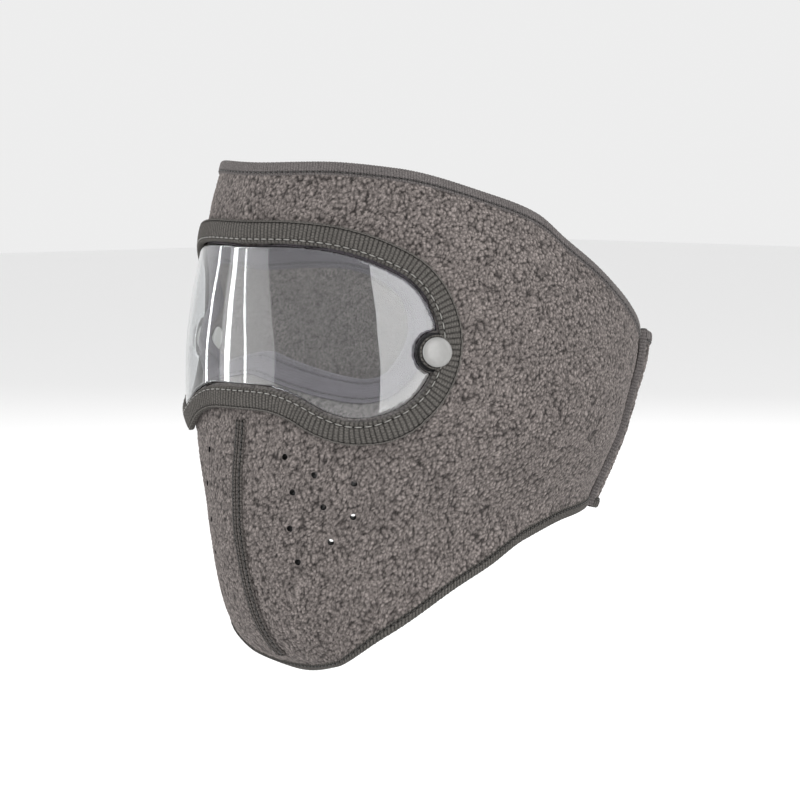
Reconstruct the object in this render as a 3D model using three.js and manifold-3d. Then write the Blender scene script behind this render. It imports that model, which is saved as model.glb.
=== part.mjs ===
// A fleece face mask for skiing with a clear goggle lens, a press stud at each temple and a
// hook-and-loop closure at the back of the head. Millimetres, +Z up. The wearer looks along -Y and the
// wearer's left is +X. The origin is the middle of the head opening, level with the press studs.
import * as THREE from 'three';
import { mergeVertices } from 'three/addons/utils/BufferGeometryUtils.js';
import Module from 'manifold-3d';

const manifold = await Module();
manifold.setup();

// ---- driving dimensions -------------------------------------------------------------------------
const DEG = Math.PI / 180;
const AXIS_Y = -8; // the vertical axis that head angles are measured round, on the plane of symmetry
const GAP = 0.3; // clearance between neighbouring layers
const FLEECE = 2.0; // thickness of the outer fleece
const LINING = 2.0; // thickness of the inner fleece
const LINING_OUT = -FLEECE - GAP; // height of the lining's outer face over the fleece's outer face
const LINING_IN = LINING_OUT - LINING;

// Horizontal sections of the mask's outer face: height z, half width, reach to the front and reach to
// the back from the vertical axis, and the exponent of the front half's superellipse.
const HEAD_SECTIONS = [
  [-128, 56, 53, 56, 2.0],
  [-120, 62, 65, 62, 2.0],
  [-112, 64.5, 73, 66, 2.0],
  [-100, 64.5, 80, 70, 2.0],
  [-80, 64.5, 86, 77, 2.0],
  [-64, 66, 88.5, 83, 2.0],
  [-49, 72, 88.8, 90, 2.0],
  [-34, 79, 87.5, 96, 2.0],
  [-22, 81.5, 86.5, 100, 2.2],
  [-2, 82, 86, 108, 2.2],
  [19, 80.5, 85.5, 110, 2.1],
  [40, 76.5, 84, 108, 2.0],
  [57, 73, 82, 103, 2.0],
  [82, 66, 77.5, 92, 2.0],
];

// Upper and lower edge of the mask: head angle in degrees from the front, height z.
const TOP_EDGE = [
  [0, 76], [22, 76.5], [45, 74], [75, 64], [93, 56], [104, 46], [116, 36], [128, 24.5], [140, 14], [155, 4],
  [170, 0], [180, 0],
];
const BOTTOM_EDGE = [
  [0, -126.5], [22, -122.5], [42, -108.5], [65, -90.5], [79, -82.5], [95, -73.5], [120, -67.3], [150, -66],
  [180, -66],
];

// Goggle outline, the wearer's left half from the brow to the nose: head angle, height z.
const VISOR_OUTLINE = [
  [0, 44.6], [17, 44.6], [30, 42.4], [41, 37.4], [50, 30], [55, 19.5], [56.6, 8], [54.6, -5], [49.5, -15.5],
  [42, -21.6], [34, -23.1], [27, -20.6], [20, -15.6], [12.5, -12.3], [0, -11.6],
];
// Eye opening of the inner layer, the same way round.
const EYE_OUTLINE = [
  [0, 34.8], [20, 36.4], [32, 35.8], [41, 31.8], [47, 24.5], [48.9, 15], [46.8, 4], [42, -5.4], [36, -7.6],
  [28, -6.2], [18, -2.8], [9, 0.2], [0, 2.2],
];
const FLAT_RADIUS = 87; // head radius used to lay these outlines out flat
const VISOR_HALF_ANGLE = 60; // the goggle window lies within this head angle on either side

const RIM_WIDTH = 8.8;
const RIM_IN = 0.7; // heights of the rim's back and front faces over the fleece
const RIM_OUT = 3.1;
const LENS_IN = 0.8;
const LENS_OUT = 1.8;
const LENS_EDGE_GAP = 1.1;
const FLEECE_SETBACK = 3; // how far the fleece's own opening lies outside the goggle outline
const EYE_BINDING_WIDTH = 9;
const LINING_DIP = 12; // how far the inner layer lies back towards the face behind the lens
const DIP_RUN = 17; // distance from the goggle outline over which it does so

const EDGE_GAP = 0.7; // between a fleece edge and the band beside it
const TOP_BINDING = 5;
const BOTTOM_BINDING = 4.5;
const END_BINDING = 4.5;
const BINDING_RISE = 0.4; // how far a binding stands above the fleece it covers
const SEAM_WIDTH = 5.6;
const SEAM_THICKNESS = 0.8;
const SEAM_TOP = -25;
const SEAM_BOTTOM = -119;

const VENT_RADIUS = 1.15;
const VENTS = [
  [15.2, -38], [17.3, -51.7], [16.1, -66], [17.5, -79.3], [23.4, -44.6], [25.3, -57.2], [26.8, -71],
  [33.8, -47.7], [33, -61],
];

const SNAP_ANGLE = 55.4; // head angle and height of the press studs
const SNAP_Z = 3.4;
const SNAP_X = SNAP_ANGLE * DEG * FLAT_RADIUS; // the same place in the flat layout
const SNAP_FLAT = 8; // the inner layer is flat within this distance of a stud
const SNAP_FLAT_RUN = 14; // and dips fully this much further out
const CAP_RADIUS = 5.8;
const TAB_RADIUS = 6.5;
const LENS_NOTCH_RADIUS = 8.2;

const WING_HINGE = 245; // head angle where the right back wing bends, behind the ear
const WING_END = 192; // where the wing becomes the closing flap
const LEFT_END = 188; // end of the left back wing, under the flap
const FLAP_END = 150; // free end of the flap, on the wearer's left
const LOOP_IN = 0.6;
const LOOP_OUT = 1.4;
const HOOK_IN = 1.9;
const HOOK_OUT = 2.7;
const TAPE_INSET = 2; // the tapes' distance from the cloth's upper and lower edges
const FLAP_IN = 3.2;
const FLAP_OUT = FLAP_IN + FLEECE;
const LIFT_START = 216; // the wing starts to rise here to pass over the left wing's end

// ---- finishes -----------------------------------------------------------------------------------
const OUTER_FLEECE = { color: 0x5f5957, roughness: 0.95 };
const LINING_FLEECE = { color: 0x6a6462, roughness: 0.95 };
const RIB_KNIT = { color: 0x4c4a44, roughness: 0.9 };
const SMOOTH_KNIT = { color: 0x5d5a60, roughness: 0.85 };
const DARK_TAPE = { color: 0x2c2b2c, roughness: 0.9 };
const CAP_PLASTIC = { color: 0xc4c3c0, roughness: 0.45 };
const STUD_PLASTIC = { color: 0xb9b9b6, roughness: 0.45 };
const CLEAR_LENS = { color: 0xdfe6ea, roughness: 0.05, opacity: 0.3 };

// ---- curves -------------------------------------------------------------------------------------
// Monotone cubic curve through rows of [x, values...], as a function that returns the values at x.
function smoothTable(rows) {
  const count = rows[0].length - 1;
  const slopes = rows.map((row, i) => Array.from({ length: count }, (_, k) => {
    if (i === 0 || i === rows.length - 1) {
      return 0;
    }
    const before = (row[k + 1] - rows[i - 1][k + 1]) / (row[0] - rows[i - 1][0]);
    const after = (rows[i + 1][k + 1] - row[k + 1]) / (rows[i + 1][0] - row[0]);
    return before * after > 0 ? (2 * before * after) / (before + after) : 0;
  }));
  return (x) => {
    const last = rows.length - 2;
    const above = rows.findIndex((row) => row[0] > x);
    const i = above < 0 ? last : Math.max(0, above - 1);
    const span = rows[i + 1][0] - rows[i][0];
    const t = Math.min(1, Math.max(0, (x - rows[i][0]) / span));
    const rise = t * t * (3 - 2 * t);
    return Array.from({ length: count }, (_, k) => {
      const chord = rows[i][k + 1] * (1 - rise) + rows[i + 1][k + 1] * rise;
      return chord + span * t * (1 - t) * (slopes[i][k] * (1 - t) - slopes[i + 1][k] * t);
    });
  };
}

const headSection = smoothTable(HEAD_SECTIONS);
const topCurve = smoothTable(TOP_EDGE);
const bottomCurve = smoothTable(BOTTOM_EDGE);

const foldAngle = (degrees) => 180 - Math.abs(180 - (((degrees % 360) + 360) % 360));
const topEdge = (degrees) => topCurve(foldAngle(degrees))[0];
const bottomEdge = (degrees) => bottomCurve(foldAngle(degrees))[0];
const smoothStep = (x) => THREE.MathUtils.smoothstep(x, 0, 1);

// Distance of the mask's outer face from the vertical axis.
function headRadius(degrees, z) {
  const [halfWidth, front, back, exponent] = headSection(z);
  const side = Math.abs(Math.sin(degrees * DEG));
  const ahead = Math.cos(degrees * DEG);
  const power = ahead >= 0 ? exponent : 2;
  const reach = ahead >= 0 ? front : back;
  return ((side / halfWidth) ** power + (Math.abs(ahead) / reach) ** power) ** (-1 / power);
}

function facePoint(degrees, z) {
  const radius = headRadius(degrees, z);
  return new THREE.Vector3(radius * Math.sin(degrees * DEG), AXIS_Y - radius * Math.cos(degrees * DEG), z);
}

function faceNormal(degrees, z) {
  const around = facePoint(degrees + 0.2, z).sub(facePoint(degrees - 0.2, z));
  const up = facePoint(degrees, z + 0.4).sub(facePoint(degrees, z - 0.4));
  return around.cross(up).normalize();
}

// The point at this head angle and z of the outer face, raised off it by height.
function overFace(degrees, z, height) {
  return facePoint(degrees, z).addScaledVector(faceNormal(degrees, z), height);
}

// The z reached by going up the face from z by this distance.
function climb(degrees, z, distance) {
  const slope = facePoint(degrees, z + 1).distanceTo(facePoint(degrees, z - 1)) / 2;
  return z + distance / slope;
}

// ---- solids -------------------------------------------------------------------------------------
function solidGeometry(points, faces) {
  let volume = 0;
  for (const [a, b, c] of faces) {
    volume += points[a].dot(points[b].clone().cross(points[c]));
  }
  const outward = volume > 0 ? faces : faces.map(([a, b, c]) => [a, c, b]);
  const numbers = points.flatMap((p) => p.toArray());
  const geometry = new THREE.BufferGeometry();
  geometry.setAttribute('position', new THREE.Float32BufferAttribute(numbers, 3));
  geometry.setIndex(outward.flat());
  return geometry;
}

const quad = (a, b, c, d) => [[a, b, c], [a, c, d]];

function middleOf(loop) {
  return loop.reduce((sum, p) => sum.add(p), new THREE.Vector3()).divideScalar(loop.length);
}

// A tube through loops of points. It closes on itself, or ends in caps round the loops' own centres, and
// a cap's centre may bulge outwards so that it stays clear of a curved face.
function loftSolid(loops, closed, capBulge = 0) {
  const points = loops.flat();
  const size = loops[0].length;
  const faces = [];
  for (let i = 0; i < loops.length - (closed ? 0 : 1); i += 1) {
    const next = (i + 1) % loops.length;
    for (let k = 0; k < size; k += 1) {
      const l = (k + 1) % size;
      faces.push(...quad(i * size + k, i * size + l, next * size + l, next * size + k));
    }
  }
  if (!closed) {
    for (const [row, beside] of [[0, 1], [loops.length - 1, loops.length - 2]]) {
      const centre = middleOf(loops[row]);
      const outwards = centre.clone().sub(middleOf(loops[beside])).normalize();
      points.push(centre.addScaledVector(outwards, capBulge));
      for (let k = 0; k < size; k += 1) {
        const here = row * size + k;
        const next = row * size + ((k + 1) % size);
        faces.push(row === 0 ? [next, here, points.length - 1] : [here, next, points.length - 1]);
      }
    }
  }
  return solidGeometry(points, faces);
}

const ROW_SPREAD = 1.15; // above 1, a sheet's rows lie closer together low down, where the head turns under

// A sheet over a patch of the head, between two heights that may vary.
function sheetSolid({ from, to, columns, rows, low, high, inner, outer }) {
  const loops = [];
  for (let i = 0; i <= columns; i += 1) {
    const degrees = from + ((to - from) * i) / columns;
    const zs = Array.from({ length: rows + 1 }, (_, j) => {
      const t = j / rows;
      return low(degrees) + (high(degrees) - low(degrees)) * t ** ROW_SPREAD;
    });
    const front = zs.map((z) => overFace(degrees, z, outer(degrees, z)));
    const back = zs.map((z) => overFace(degrees, z, inner(degrees, z)));
    loops.push([...front, ...back.reverse()]);
  }
  const size = loops[0].length;
  const points = loops.flat();
  const faces = [];
  for (let i = 0; i < columns; i += 1) {
    for (let k = 0; k < size; k += 1) {
      const l = (k + 1) % size;
      const corners = [i * size + k, i * size + l, (i + 1) * size + l, (i + 1) * size + k];
      faces.push(...quad(...(k < rows ? corners : [...corners.slice(1), corners[0]])));
    }
  }
  for (const i of [0, columns]) {
    for (let j = 0; j < rows; j += 1) {
      const strip = quad(i * size + j, i * size + j + 1, (i + 1) * size - 2 - j, (i + 1) * size - 1 - j);
      faces.push(...(i === 0 ? strip.map(([a, b, c]) => [a, c, b]) : strip));
    }
  }
  return solidGeometry(points, faces);
}

// Section of a folded band: [across, height] corners with the edges taken off.
function bandProfile(low, high, inner, outer, bevel = 0.6) {
  return [
    [low + bevel, inner], [high - bevel, inner], [high, inner + bevel], [high, outer - bevel],
    [high - bevel, outer], [low + bevel, outer], [low, outer - bevel], [low, inner + bevel],
  ];
}

// A band that runs round the head beside an edge given by z(angle).
function edgeBand({ from, to, steps, edge, profile, lift = () => 0 }) {
  const loops = [];
  for (let i = 0; i <= steps; i += 1) {
    const degrees = from + ((to - from) * i) / steps;
    loops.push(profile.map(([across, height]) => overFace(
      degrees, climb(degrees, edge(degrees), across), height + lift(degrees))));
  }
  return loftSolid(loops, false);
}

// A band that runs up the head at one angle: the profile's first number goes round the head.
function uprightBand({ angle, low, high, steps, profile }) {
  const loops = [];
  for (let i = 0; i <= steps; i += 1) {
    const z = low + ((high - low) * i) / steps;
    const perDegree = headRadius(angle, z) * DEG;
    loops.push(profile.map(([across, height]) => overFace(angle + across / perDegree, z, height)));
  }
  return loftSolid(loops, false);
}

// ---- outlines laid out flat: x = angle times radius, y = z ---------------------------------------
function flatOutline(half, count) {
  const right = half.map(([degrees, z]) => new THREE.Vector3(degrees * DEG * FLAT_RADIUS, z, 0));
  const left = right.slice(1, -1).map((p) => new THREE.Vector3(-p.x, p.y, 0)).reverse();
  const curve = new THREE.CatmullRomCurve3([...right, ...left], true);
  return curve.getSpacedPoints(count).slice(0, count).map((p) => new THREE.Vector2(p.x, p.y));
}

// The outline moved outwards in its own plane.
function offsetOutline(outline, distance) {
  const count = outline.length;
  return outline.map((p, i) => {
    const along = outline[(i + 1) % count].clone().sub(outline[(i + count - 1) % count]).normalize();
    return new THREE.Vector2(p.x - along.y * distance, p.y + along.x * distance);
  });
}

const flatToFace = (p, height) => overFace(p.x / FLAT_RADIUS / DEG, p.y, height);

function circleOutline(degrees, z, radius, sides) {
  const localRadius = headRadius(degrees, z);
  return Array.from({ length: sides }, (_, i) => {
    const turn = (i * 2 * Math.PI) / sides;
    return new THREE.Vector2(
      degrees * DEG * FLAT_RADIUS + (radius * Math.sin(turn) * FLAT_RADIUS) / localRadius,
      z + radius * Math.cos(turn));
  });
}

// A plug that fills an outline from one height to another.
const outlinePlug = (outline, low, high, bulge = 0) => loftSolid(
  [outline.map((p) => flatToFace(p, low)), outline.map((p) => flatToFace(p, high))], false, bulge);

function distanceInside(outline, x, y) {
  let nearest = Infinity;
  let inside = false;
  outline.forEach((a, i) => {
    const b = outline[(i + 1) % outline.length];
    const along = ((x - a.x) * (b.x - a.x) + (y - a.y) * (b.y - a.y)) / a.distanceToSquared(b);
    const t = THREE.MathUtils.clamp(along, 0, 1);
    nearest = Math.min(nearest, Math.hypot(x - a.x - t * (b.x - a.x), y - a.y - t * (b.y - a.y)));
    if ((a.y > y) !== (b.y > y) && x < a.x + ((y - a.y) * (b.x - a.x)) / (b.y - a.y)) {
      inside = !inside;
    }
  });
  return inside ? nearest : 0;
}

const visorOutline = flatOutline(VISOR_OUTLINE, 56);
const eyeOutline = flatOutline(EYE_OUTLINE, 44);

// How far the inner layer lies back behind the lens; it stays flat round the press studs.
function liningDip(degrees, z) {
  if (Math.abs(degrees) > VISOR_HALF_ANGLE) {
    return 0;
  }
  const x = degrees * DEG * FLAT_RADIUS;
  const fromSnap = Math.hypot(Math.abs(x) - SNAP_X, z - SNAP_Z);
  const inwards = smoothStep(distanceInside(visorOutline, x, z) / DIP_RUN);
  return LINING_DIP * inwards * smoothStep((fromSnap - SNAP_FLAT) / SNAP_FLAT_RUN);
}

const wingLift = (degrees) => FLAP_OUT * smoothStep((LIFT_START - degrees) / (LIFT_START - WING_END));

// ---- boolean cuts -------------------------------------------------------------------------------
function toSolid(geometry) {
  const bare = geometry.clone();
  bare.deleteAttribute('normal');
  bare.deleteAttribute('uv');
  const merged = mergeVertices(bare, 1e-4);
  return new manifold.Manifold(new manifold.Mesh({
    numProp: 3,
    vertProperties: new Float32Array(merged.getAttribute('position').array),
    triVerts: new Uint32Array(merged.getIndex().array),
  }));
}

function toGeometry(solid) {
  const mesh = solid.getMesh();
  const geometry = new THREE.BufferGeometry();
  geometry.setAttribute('position', new THREE.Float32BufferAttribute(mesh.vertProperties, 3));
  geometry.setIndex(Array.from(mesh.triVerts));
  return geometry;
}

const cutAway = (geometry, ...tools) => toGeometry(
  tools.reduce((solid, tool) => solid.subtract(toSolid(tool)), toSolid(geometry)));
const keepWithin = (geometry, tool) => toGeometry(toSolid(geometry).intersect(toSolid(tool)));

// ---- the object ---------------------------------------------------------------------------------
const balaclava = new THREE.Group();

function addPiece(name, geometry, { color, roughness, opacity = 1 }) {
  const material = new THREE.MeshStandardMaterial({ color, roughness, metalness: 0 });
  material.transparent = opacity < 1;
  material.opacity = opacity;
  const mesh = new THREE.Mesh(geometry, material);
  mesh.name = name;
  balaclava.add(mesh);
}

const SIDES = [-1, 1]; // the wearer's right, then left
const HINGE_GAP = 0.2; // degrees left free on each side of the wing's fold
const FOLD_GAP = 0.3; // the same on the wing's side and on the flap's side of the fold between them
const CUT_REACH = 30; // how far a window's cutter reaches past the layers on both sides
const VENT_SIDES = 6;
const POST_HOLE_RADIUS = 1.8;

const fleeceLow = (degrees) => climb(degrees, bottomEdge(degrees), BOTTOM_BINDING + EDGE_GAP + 0.2);
const fleeceHigh = (degrees) => climb(degrees, topEdge(degrees), -TOP_BINDING - EDGE_GAP);

function windowCutter(outline, offset) {
  return outlinePlug(offsetOutline(outline, offset), -CUT_REACH, CUT_REACH, CUT_REACH);
}

// Round plug through both cloth layers.
function holeCutter(degrees, z, radius, sides) {
  return outlinePlug(circleOutline(degrees, z, radius, sides), LINING_IN - 4, RIM_OUT + 6);
}

const ventCutters = () => SIDES.flatMap((side) => VENTS.map(
  ([degrees, z]) => holeCutter(side * degrees, z, VENT_RADIUS, VENT_SIDES)));
const postHole = (side, slack) => holeCutter(side * SNAP_ANGLE, SNAP_Z, POST_HOLE_RADIUS + slack, 10);

const frontSheet = {
  from: WING_HINGE - 360 + HINGE_GAP, to: LEFT_END, columns: 42, rows: 11, low: fleeceLow, high: fleeceHigh,
};

// Outer fleece: one continuous piece from the right ear round the face to the left wing's end.
function buildOuterFleece() {
  const sheet = sheetSolid({ ...frontSheet, inner: () => -FLEECE, outer: () => 0 });
  const cut = cutAway(sheet, windowCutter(visorOutline, FLEECE_SETBACK), ...ventCutters());
  addPiece('outer_fleece', cut, OUTER_FLEECE);
}

// Inner fleece: follows the outer one, and lies back towards the brow and cheeks behind the lens.
function buildInnerLining() {
  const sheet = sheetSolid({
    ...frontSheet,
    inner: (degrees, z) => LINING_IN - liningDip(degrees, z),
    outer: (degrees, z) => LINING_OUT - liningDip(degrees, z),
  });
  const postHoles = SIDES.map((side) => postHole(side, 0.4));
  const cut = cutAway(sheet, windowCutter(eyeOutline, 0), ...ventCutters(), ...postHoles);
  addPiece('inner_lining', cut, LINING_FLEECE);
}

// Flat seam that draws the fleece in from the nose to under the chin.
function buildCentreSeam() {
  addPiece('centre_seam', uprightBand({
    angle: 0, low: SEAM_BOTTOM, high: SEAM_TOP, steps: 16,
    profile: bandProfile(-SEAM_WIDTH / 2, SEAM_WIDTH / 2, GAP, GAP + SEAM_THICKNESS, SEAM_THICKNESS / 3),
  }), RIB_KNIT);
}

// Closed band that follows an outline; the profile's first number is the distance outside it.
function outlineBand(outline, profile) {
  const loops = outline.map(() => []);
  for (const [offset, height] of profile) {
    offsetOutline(outline, offset).forEach((p, i) => {
      loops[i].push(flatToFace(p, height));
    });
  }
  return loftSolid(loops, true);
}

// Half-disc round the press stud: round towards the eye, straight where it joins the rim.
const TAB_STEPS = 10;

function tabOutline(side, radius, back) {
  const arc = Array.from({ length: TAB_STEPS + 1 }, (_, i) => {
    const turn = (i * Math.PI) / TAB_STEPS;
    return new THREE.Vector2(side * (SNAP_X - radius * Math.sin(turn)), SNAP_Z + radius * Math.cos(turn));
  });
  return [
    ...arc,
    new THREE.Vector2(side * (SNAP_X + back), SNAP_Z - radius),
    new THREE.Vector2(side * (SNAP_X + back), SNAP_Z + radius),
  ];
}

// Room for a tab in the layers round it: from below the lining to above the cap.
function tabRooms(slack, back) {
  return SIDES.map((side) => outlinePlug(tabOutline(side, TAB_RADIUS + slack, back), -9, 8));
}

// The goggle window: a knitted rim sewn round the fleece's opening, and the clear lens inside it.
function buildVisor() {
  const rim = outlineBand(visorOutline, bandProfile(0, RIM_WIDTH, RIM_IN, RIM_OUT, 0.7));
  addPiece('visor_rim', cutAway(rim, ...tabRooms(GAP, TAB_RADIUS + GAP)), RIB_KNIT);

  const slab = sheetSolid({
    from: -VISOR_HALF_ANGLE - 2,
    to: VISOR_HALF_ANGLE + 2,
    columns: 30,
    rows: 6,
    low: () => -30,
    high: () => 52,
    inner: () => LENS_IN,
    outer: () => LENS_OUT,
  });
  const lens = keepWithin(slab, windowCutter(visorOutline, -LENS_EDGE_GAP));
  const notches = SIDES.map((side) => holeCutter(side * SNAP_ANGLE, SNAP_Z, LENS_NOTCH_RADIUS, 16));
  addPiece('visor_lens', cutAway(lens, ...notches), CLEAR_LENS);
}

// Smooth knit band round the eye opening of the inner layer.
function buildEyeBinding() {
  const sheet = sheetSolid({
    ...frontSheet,
    inner: (degrees, z) => LINING_OUT + 0.4 - liningDip(degrees, z),
    outer: (degrees, z) => LINING_OUT + 1.5 - liningDip(degrees, z),
  });
  const width = keepWithin(sheet, windowCutter(eyeOutline, EYE_BINDING_WIDTH));
  const clearOfFleece = keepWithin(width, windowCutter(visorOutline, FLEECE_SETBACK - EDGE_GAP));
  const band = cutAway(clearOfFleece, windowCutter(eyeOutline, 0.5), ...tabRooms(2, 2 * TAB_RADIUS));
  addPiece('eye_binding', band, SMOOTH_KNIT);
}

// Turned ring or disc standing on the face at the press stud: profile of [radius, height] points.
function turnedAtSnap(profile, side) {
  const section = profile.map(([radius, height]) => new THREE.Vector2(radius, height));
  const geometry = new THREE.LatheGeometry(section, 16);
  const normal = faceNormal(side * SNAP_ANGLE, SNAP_Z);
  geometry.applyQuaternion(new THREE.Quaternion().setFromUnitVectors(new THREE.Vector3(0, 1, 0), normal));
  const foot = facePoint(side * SNAP_ANGLE, SNAP_Z);
  geometry.translate(foot.x, foot.y, foot.z);
  return toGeometry(toSolid(geometry));
}

// Sections of the press stud's turned parts: radius, height over the fleece.
const STEM_RADIUS = 1.4; // of the cap and of the post
const BORE_RADIUS = 1.75; // of the socket and of the stud that snaps into it
const CAP_SECTION = [
  [0, 1.2], [STEM_RADIUS, 1.2], [STEM_RADIUS, 3.5], [CAP_RADIUS - 0.5, 3.5], [CAP_RADIUS, 3.9],
  [CAP_RADIUS, 4.4], [CAP_RADIUS - 0.6, 4.9], [CAP_RADIUS - 2, 5.3], [2, 5.5], [0, 5.5],
];
const SOCKET_SECTION = [
  [BORE_RADIUS, 1.35], [BORE_RADIUS, 1.0], [3.2, 0.8], [3.2, 0.3], [4.4, 0.3], [4.4, 1.35],
  [BORE_RADIUS, 1.35],
];
const STUD_SECTION = [
  [BORE_RADIUS, -0.3], [2.9, -0.3], [2.9, 0], [2.5, 0.1], [2.5, 0.6], [BORE_RADIUS, 0.6],
  [BORE_RADIUS, -0.3],
];
const POST_SECTION = [
  [0, -6.9], [4.6, -6.9], [5, -6.5], [5, -6.1], [STEM_RADIUS, -5.9], [STEM_RADIUS, 0.3], [0, 0.3],
];
const TONGUE_IN = 2.2; // height of the tongue's back face
const STUD_TAB_IN = -1.7; // heights of the stud tab's faces
const STUD_TAB_OUT = -0.8;

// One press stud: a cap over the tongue, its socket under it, and the stud on the inner tab.
function buildPressStud(side, hand) {
  const tongue = outlinePlug(tabOutline(side, TAB_RADIUS, TAB_RADIUS), TONGUE_IN, RIM_OUT);
  addPiece(`snap_tongue_${hand}`, cutAway(tongue, postHole(side, 0)), RIB_KNIT);

  const tabShape = tabOutline(side, TAB_RADIUS + 1.2, TAB_RADIUS + 2.5);
  const tabPlug = outlinePlug(tabShape, STUD_TAB_IN, STUD_TAB_OUT);
  const innerTab = keepWithin(tabPlug, windowCutter(visorOutline, FLEECE_SETBACK - EDGE_GAP));
  addPiece(`stud_tab_${hand}`, cutAway(innerTab, postHole(side, 0)), DARK_TAPE);

  addPiece(`snap_cap_${hand}`, turnedAtSnap(CAP_SECTION, side), CAP_PLASTIC);
  addPiece(`snap_socket_${hand}`, turnedAtSnap(SOCKET_SECTION, side), STUD_PLASTIC);
  addPiece(`snap_stud_${hand}`, turnedAtSnap(STUD_SECTION, side), STUD_PLASTIC);
  addPiece(`snap_post_${hand}`, turnedAtSnap(POST_SECTION, side), STUD_PLASTIC);
}

// Folded knit bands over every free edge.
function buildEdgeBindings() {
  const overBoth = [LINING_IN - GAP, BINDING_RISE];
  const overFlap = [FLAP_IN - GAP, FLAP_OUT + BINDING_RISE];
  const stretches = [
    ['', WING_HINGE - 360 + HINGE_GAP, LEFT_END, 42, overBoth, () => 0],
    ['wing_', WING_END + FOLD_GAP, WING_HINGE - HINGE_GAP, 10, overBoth, wingLift],
    ['flap_', FLAP_END, WING_END - FOLD_GAP, 8, overFlap, () => 0],
  ];
  for (const [prefix, from, to, steps, [inner, outer], lift] of stretches) {
    addPiece(`${prefix}top_binding`, edgeBand({
      from, to, steps, edge: topEdge, profile: bandProfile(-TOP_BINDING, 0, inner, outer), lift,
    }), SMOOTH_KNIT);
    addPiece(`${prefix}bottom_hem`, edgeBand({
      from, to, steps, edge: bottomEdge, profile: bandProfile(0, BOTTOM_BINDING, inner, outer), lift,
    }), RIB_KNIT);
  }
  addPiece('left_end_binding', uprightBand({
    angle: LEFT_END + HINGE_GAP, low: bottomEdge(LEFT_END), high: topEdge(LEFT_END), steps: 6,
    profile: bandProfile(0, END_BINDING, LINING_IN, 0),
  }), SMOOTH_KNIT);
  addPiece('flap_end_binding', uprightBand({
    angle: FLAP_END - HINGE_GAP, low: bottomEdge(FLAP_END), high: topEdge(FLAP_END), steps: 6,
    profile: bandProfile(-END_BINDING, 0, FLAP_IN - GAP, FLAP_OUT + BINDING_RISE),
  }), SMOOTH_KNIT);
}

// Right back wing and the flap at its end, which closes over the left wing with hook and loop tape.
function buildClosure() {
  const wing = {
    from: WING_END + FOLD_GAP, to: WING_HINGE - HINGE_GAP,
    columns: 10, rows: 8, low: fleeceLow, high: fleeceHigh,
  };
  addPiece('wing_fleece', sheetSolid({
    ...wing, inner: (degrees) => wingLift(degrees) - FLEECE, outer: wingLift,
  }), OUTER_FLEECE);
  addPiece('wing_lining', sheetSolid({
    ...wing,
    inner: (degrees) => wingLift(degrees) + LINING_IN,
    outer: (degrees) => wingLift(degrees) + LINING_OUT,
  }), LINING_FLEECE);
  addPiece('closure_flap', sheetSolid({
    from: FLAP_END, to: WING_END - FOLD_GAP, columns: 9, rows: 6, low: fleeceLow, high: fleeceHigh,
    inner: () => FLAP_IN, outer: () => FLAP_OUT,
  }), OUTER_FLEECE);
  const tape = {
    from: FLAP_END + 3,
    to: LEFT_END - 2,
    columns: 8,
    rows: 4,
    low: (degrees) => fleeceLow(degrees) + TAPE_INSET,
    high: (degrees) => fleeceHigh(degrees) - TAPE_INSET,
  };
  addPiece('loop_tape', sheetSolid({ ...tape, inner: () => LOOP_IN, outer: () => LOOP_OUT }), DARK_TAPE);
  addPiece('hook_tape', sheetSolid({ ...tape, inner: () => HOOK_IN, outer: () => HOOK_OUT }), DARK_TAPE);
}

buildOuterFleece();
buildInnerLining();
buildCentreSeam();
buildVisor();
buildEyeBinding();
buildPressStud(1, 'left');
buildPressStud(-1, 'right');
buildEdgeBindings();
buildClosure();

export default balaclava;
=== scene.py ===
import math

import bpy
import numpy as np
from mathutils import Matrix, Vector


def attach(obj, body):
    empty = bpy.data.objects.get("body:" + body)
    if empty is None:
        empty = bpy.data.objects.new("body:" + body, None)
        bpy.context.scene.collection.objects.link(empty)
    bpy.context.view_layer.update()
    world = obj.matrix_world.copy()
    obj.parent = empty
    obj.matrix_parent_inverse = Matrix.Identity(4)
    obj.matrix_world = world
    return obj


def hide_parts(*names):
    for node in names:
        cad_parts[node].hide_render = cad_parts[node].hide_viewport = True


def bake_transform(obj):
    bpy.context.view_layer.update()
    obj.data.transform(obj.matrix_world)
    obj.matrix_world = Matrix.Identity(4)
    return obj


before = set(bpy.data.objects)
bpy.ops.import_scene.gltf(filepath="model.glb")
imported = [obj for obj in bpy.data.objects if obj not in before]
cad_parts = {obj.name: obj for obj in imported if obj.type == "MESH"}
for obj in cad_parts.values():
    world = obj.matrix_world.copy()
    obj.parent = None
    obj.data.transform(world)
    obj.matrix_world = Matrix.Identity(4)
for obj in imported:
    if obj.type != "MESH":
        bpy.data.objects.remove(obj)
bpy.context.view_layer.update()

# Lengths below are in millimetres and angles in degrees, as in the CAD source; MM turns them into metres
# when a mesh is made. The wearer looks along -Y and the wearer's left is +X.
MM = 0.001
AXIS_Y = -8.0

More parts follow.
